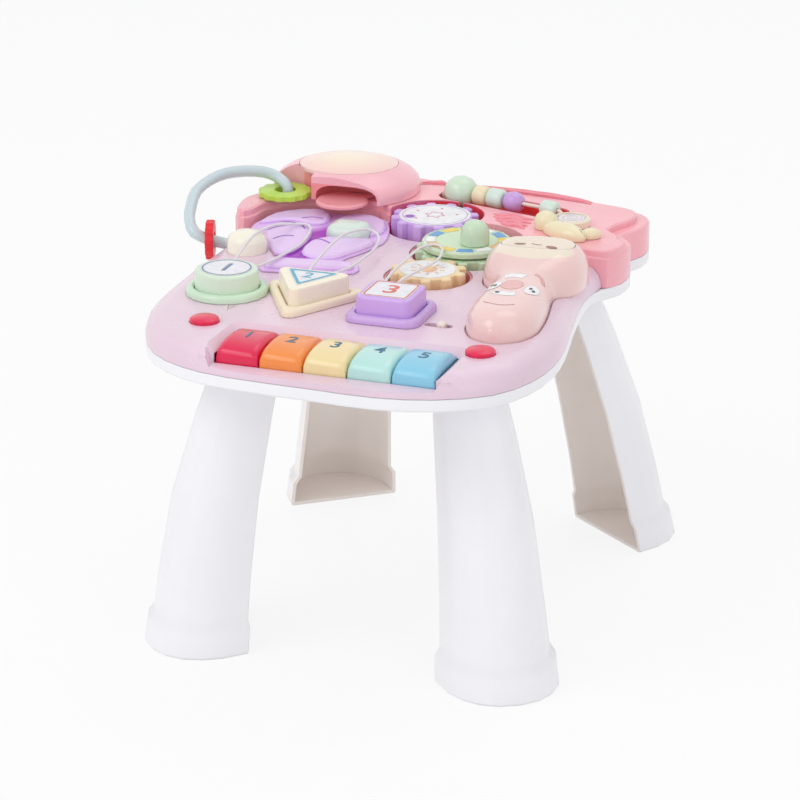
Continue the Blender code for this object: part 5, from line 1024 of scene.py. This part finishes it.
def oval(centre, across, along, turn=0.0):
    """A closed oval outline, turned by an angle."""
    points = []
    for x, y in ring_points((0, 0), 1.0, 32):
        x, y = x * across, y * along
        turned_x = x * math.cos(turn) - y * math.sin(turn)
        turned_y = x * math.sin(turn) + y * math.cos(turn)
        points.append((centre[0] + turned_x, centre[1] + turned_y))
    return points


def curved(points, steps):
    """A flat smooth line through the points."""
    return [(point.x, point.y) for point in smooth_open([(*point, 0.0) for point in points], steps)]


def add_phone_face():
    """The animal face of the handset: eyes, nose bars, the painted shade of a raised brow, mouth
    and nostrils.
    """
    white = printed("face_white", FACE_WHITE, 0.25)
    dark = printed("face_dark", FACE_DARK, 0.3)
    line = printed("face_line", FACE_LINE)
    brow = printed("face_brow_shade", FACE_BROW_SHADE)
    brown = printed("face_brown", FACE_BROWN)
    for name, points in NOSE_BARS.items():
        lay_on(name, stroke(curved(points, 4), NOSE_BAR_WIDTH), "phone_body", white)
    for side, eye in EYES.items():
        lay_on(f"eye_{side}", patch(oval(eye, *EYE_HALVES)), "phone_body", white, 2)
        for part, (across, along) in enumerate(PUPIL_OFFSETS):
            mark = oval((eye[0] + across, eye[1] + along), *PUPIL_HALVES)
            lay_on(f"pupil_{side}_{part + 1}", patch(mark), "phone_body", dark, 3)
    lay_on("nose_mark", patch(oval(*NOSE_MARK)), "phone_body", dark, 3)
    blush = printed("face_blush", FACE_BLUSH)
    lay_on("nose", patch(oval(*NOSE)), "phone_body", blush)
    # The right brow is a raised bump; its darker pink stroke is painted shade
    brow_shade_stroke = stroke(curved(BROW_LINE, CURVE_STEPS), BROW_WIDTH)
    lay_on("brow_right_shade", brow_shade_stroke, "phone_body", brow)
    mouth_stroke = stroke(curved(MOUTH_LINE, CURVE_STEPS), MOUTH_WIDTH)
    lay_on("mouth", mouth_stroke, "phone_body", line)
    for side, sizes in NOSTRILS.items():
        lay_on(f"nostril_{side}", patch(oval(*sizes)), "phone_muzzle", brown)
    muzzle_stroke = stroke(curved(MUZZLE_LINE, CURVE_STEPS), MUZZLE_LINE_WIDTH)
    lay_on("muzzle_line", muzzle_stroke, "phone_muzzle", brown)


def add_casing_reliefs():
    """Low moulded ribs on the pink casing, a deeper pink line of painted shade beside the rear
    ridge, and engraved lines on the petals drawn as dark strokes of painted shade.
    """
    pink = plastic("relief_pink", RELIEF_PINK, 0.30)
    for index, points in enumerate(RIPPLE_LINES):
        rib(f"ripple_{index + 1}", points, RIPPLE_WIDTH, RIPPLE_RISE, "rear_cover", pink)
    rib("rear_ridge", RIDGE_LINE, RIDGE_WIDTH, RIDGE_RISE, "rear_cover", pink)
    # A deeper pink line along the ridge's inner side: painted shade
    ridge_shade_line = curved([(x, y - RIDGE_SHADE_SHIFT) for x, y in RIDGE_LINE], 4)
    ridge_shade = printed("ridge_shade_pink", RIDGE_SHADE_PINK)
    lay_on("rear_ridge_shade", stroke(ridge_shade_line, RIDGE_SHADE_WIDTH), "rear_cover", ridge_shade)
    # The engraved petal lines are drawn as flat dark violet strokes: painted shade
    violet = printed("petal_shade_line", PETAL_SHADE_VIOLET)
    for index, points in enumerate(PETAL_LINES):
        engraved = stroke(curved(points, CURVE_STEPS), PETAL_LINE_WIDTH)
        lay_on(f"petal_shade_line_{index + 1}", engraved, "petal_insert", violet)


def add_snail_face():
    """The disc and spiral on the snail's shell, and a mark on its body."""
    face = plastic("shell_face", SHELL_FACE, 0.35)
    centre = centre_of("snail_shell")
    lay_on("shell_disc", patch(ring_points(centre, SHELL_DISC_RADIUS, 40)), "snail_shell", face)
    spiral = []
    for step in range(SPIRAL_POINTS):
        reach = SPIRAL_START + SPIRAL_GROWTH * step / (SPIRAL_POINTS - 1)
        spiral.append(ring_points(centre, reach, 2, SPIRAL_STEP_DEG * step, 1)[0])
    line = printed("shell_line", SHELL_LINE)
    lay_on("shell_spiral", stroke(spiral, SPIRAL_WIDTH), "snail_shell", line, 2)
    brown = printed("snail_line", SNAIL_LINE)
    lay_on("snail_mark", stroke(SNAIL_MARK, SNAIL_MARK_WIDTH), "snail_body", brown)


def add_notch():
    """The small V mark by the round block, with a dark line of painted shade inside it."""
    cream = printed("notch_cream", NOTCH_CREAM)
    lay_on("notch", stroke(NOTCH_LINE, NOTCH_WIDTH), "front_cover", cream)
    shade = printed("notch_shade", NOTCH_SHADE)
    shade_stroke = stroke(NOTCH_SHADE_LINE, NOTCH_SHADE_WIDTH)
    lay_on("notch_shade", shade_stroke, "front_cover", shade, 2)


add_camera()
add_light("key", KEY_PLACE, KEY_SIZE, KEY_POWER)
add_light("fill", FILL_PLACE, FILL_SIZE, FILL_POWER)
add_light("top", TOP_PLACE, TOP_SIZE, TOP_POWER)
add_light("front", FRONT_PLACE, FRONT_SIZE, FRONT_POWER)
add_floor()
add_world()
scene.view_settings.view_transform = "Standard"
add_strings()
paint_legs()
paint_casing()
paint_toys()
add_key_numbers()
add_block_stickers()
add_gear_prints()
add_phone_face()
add_casing_reliefs()
add_snail_face()
add_notch()
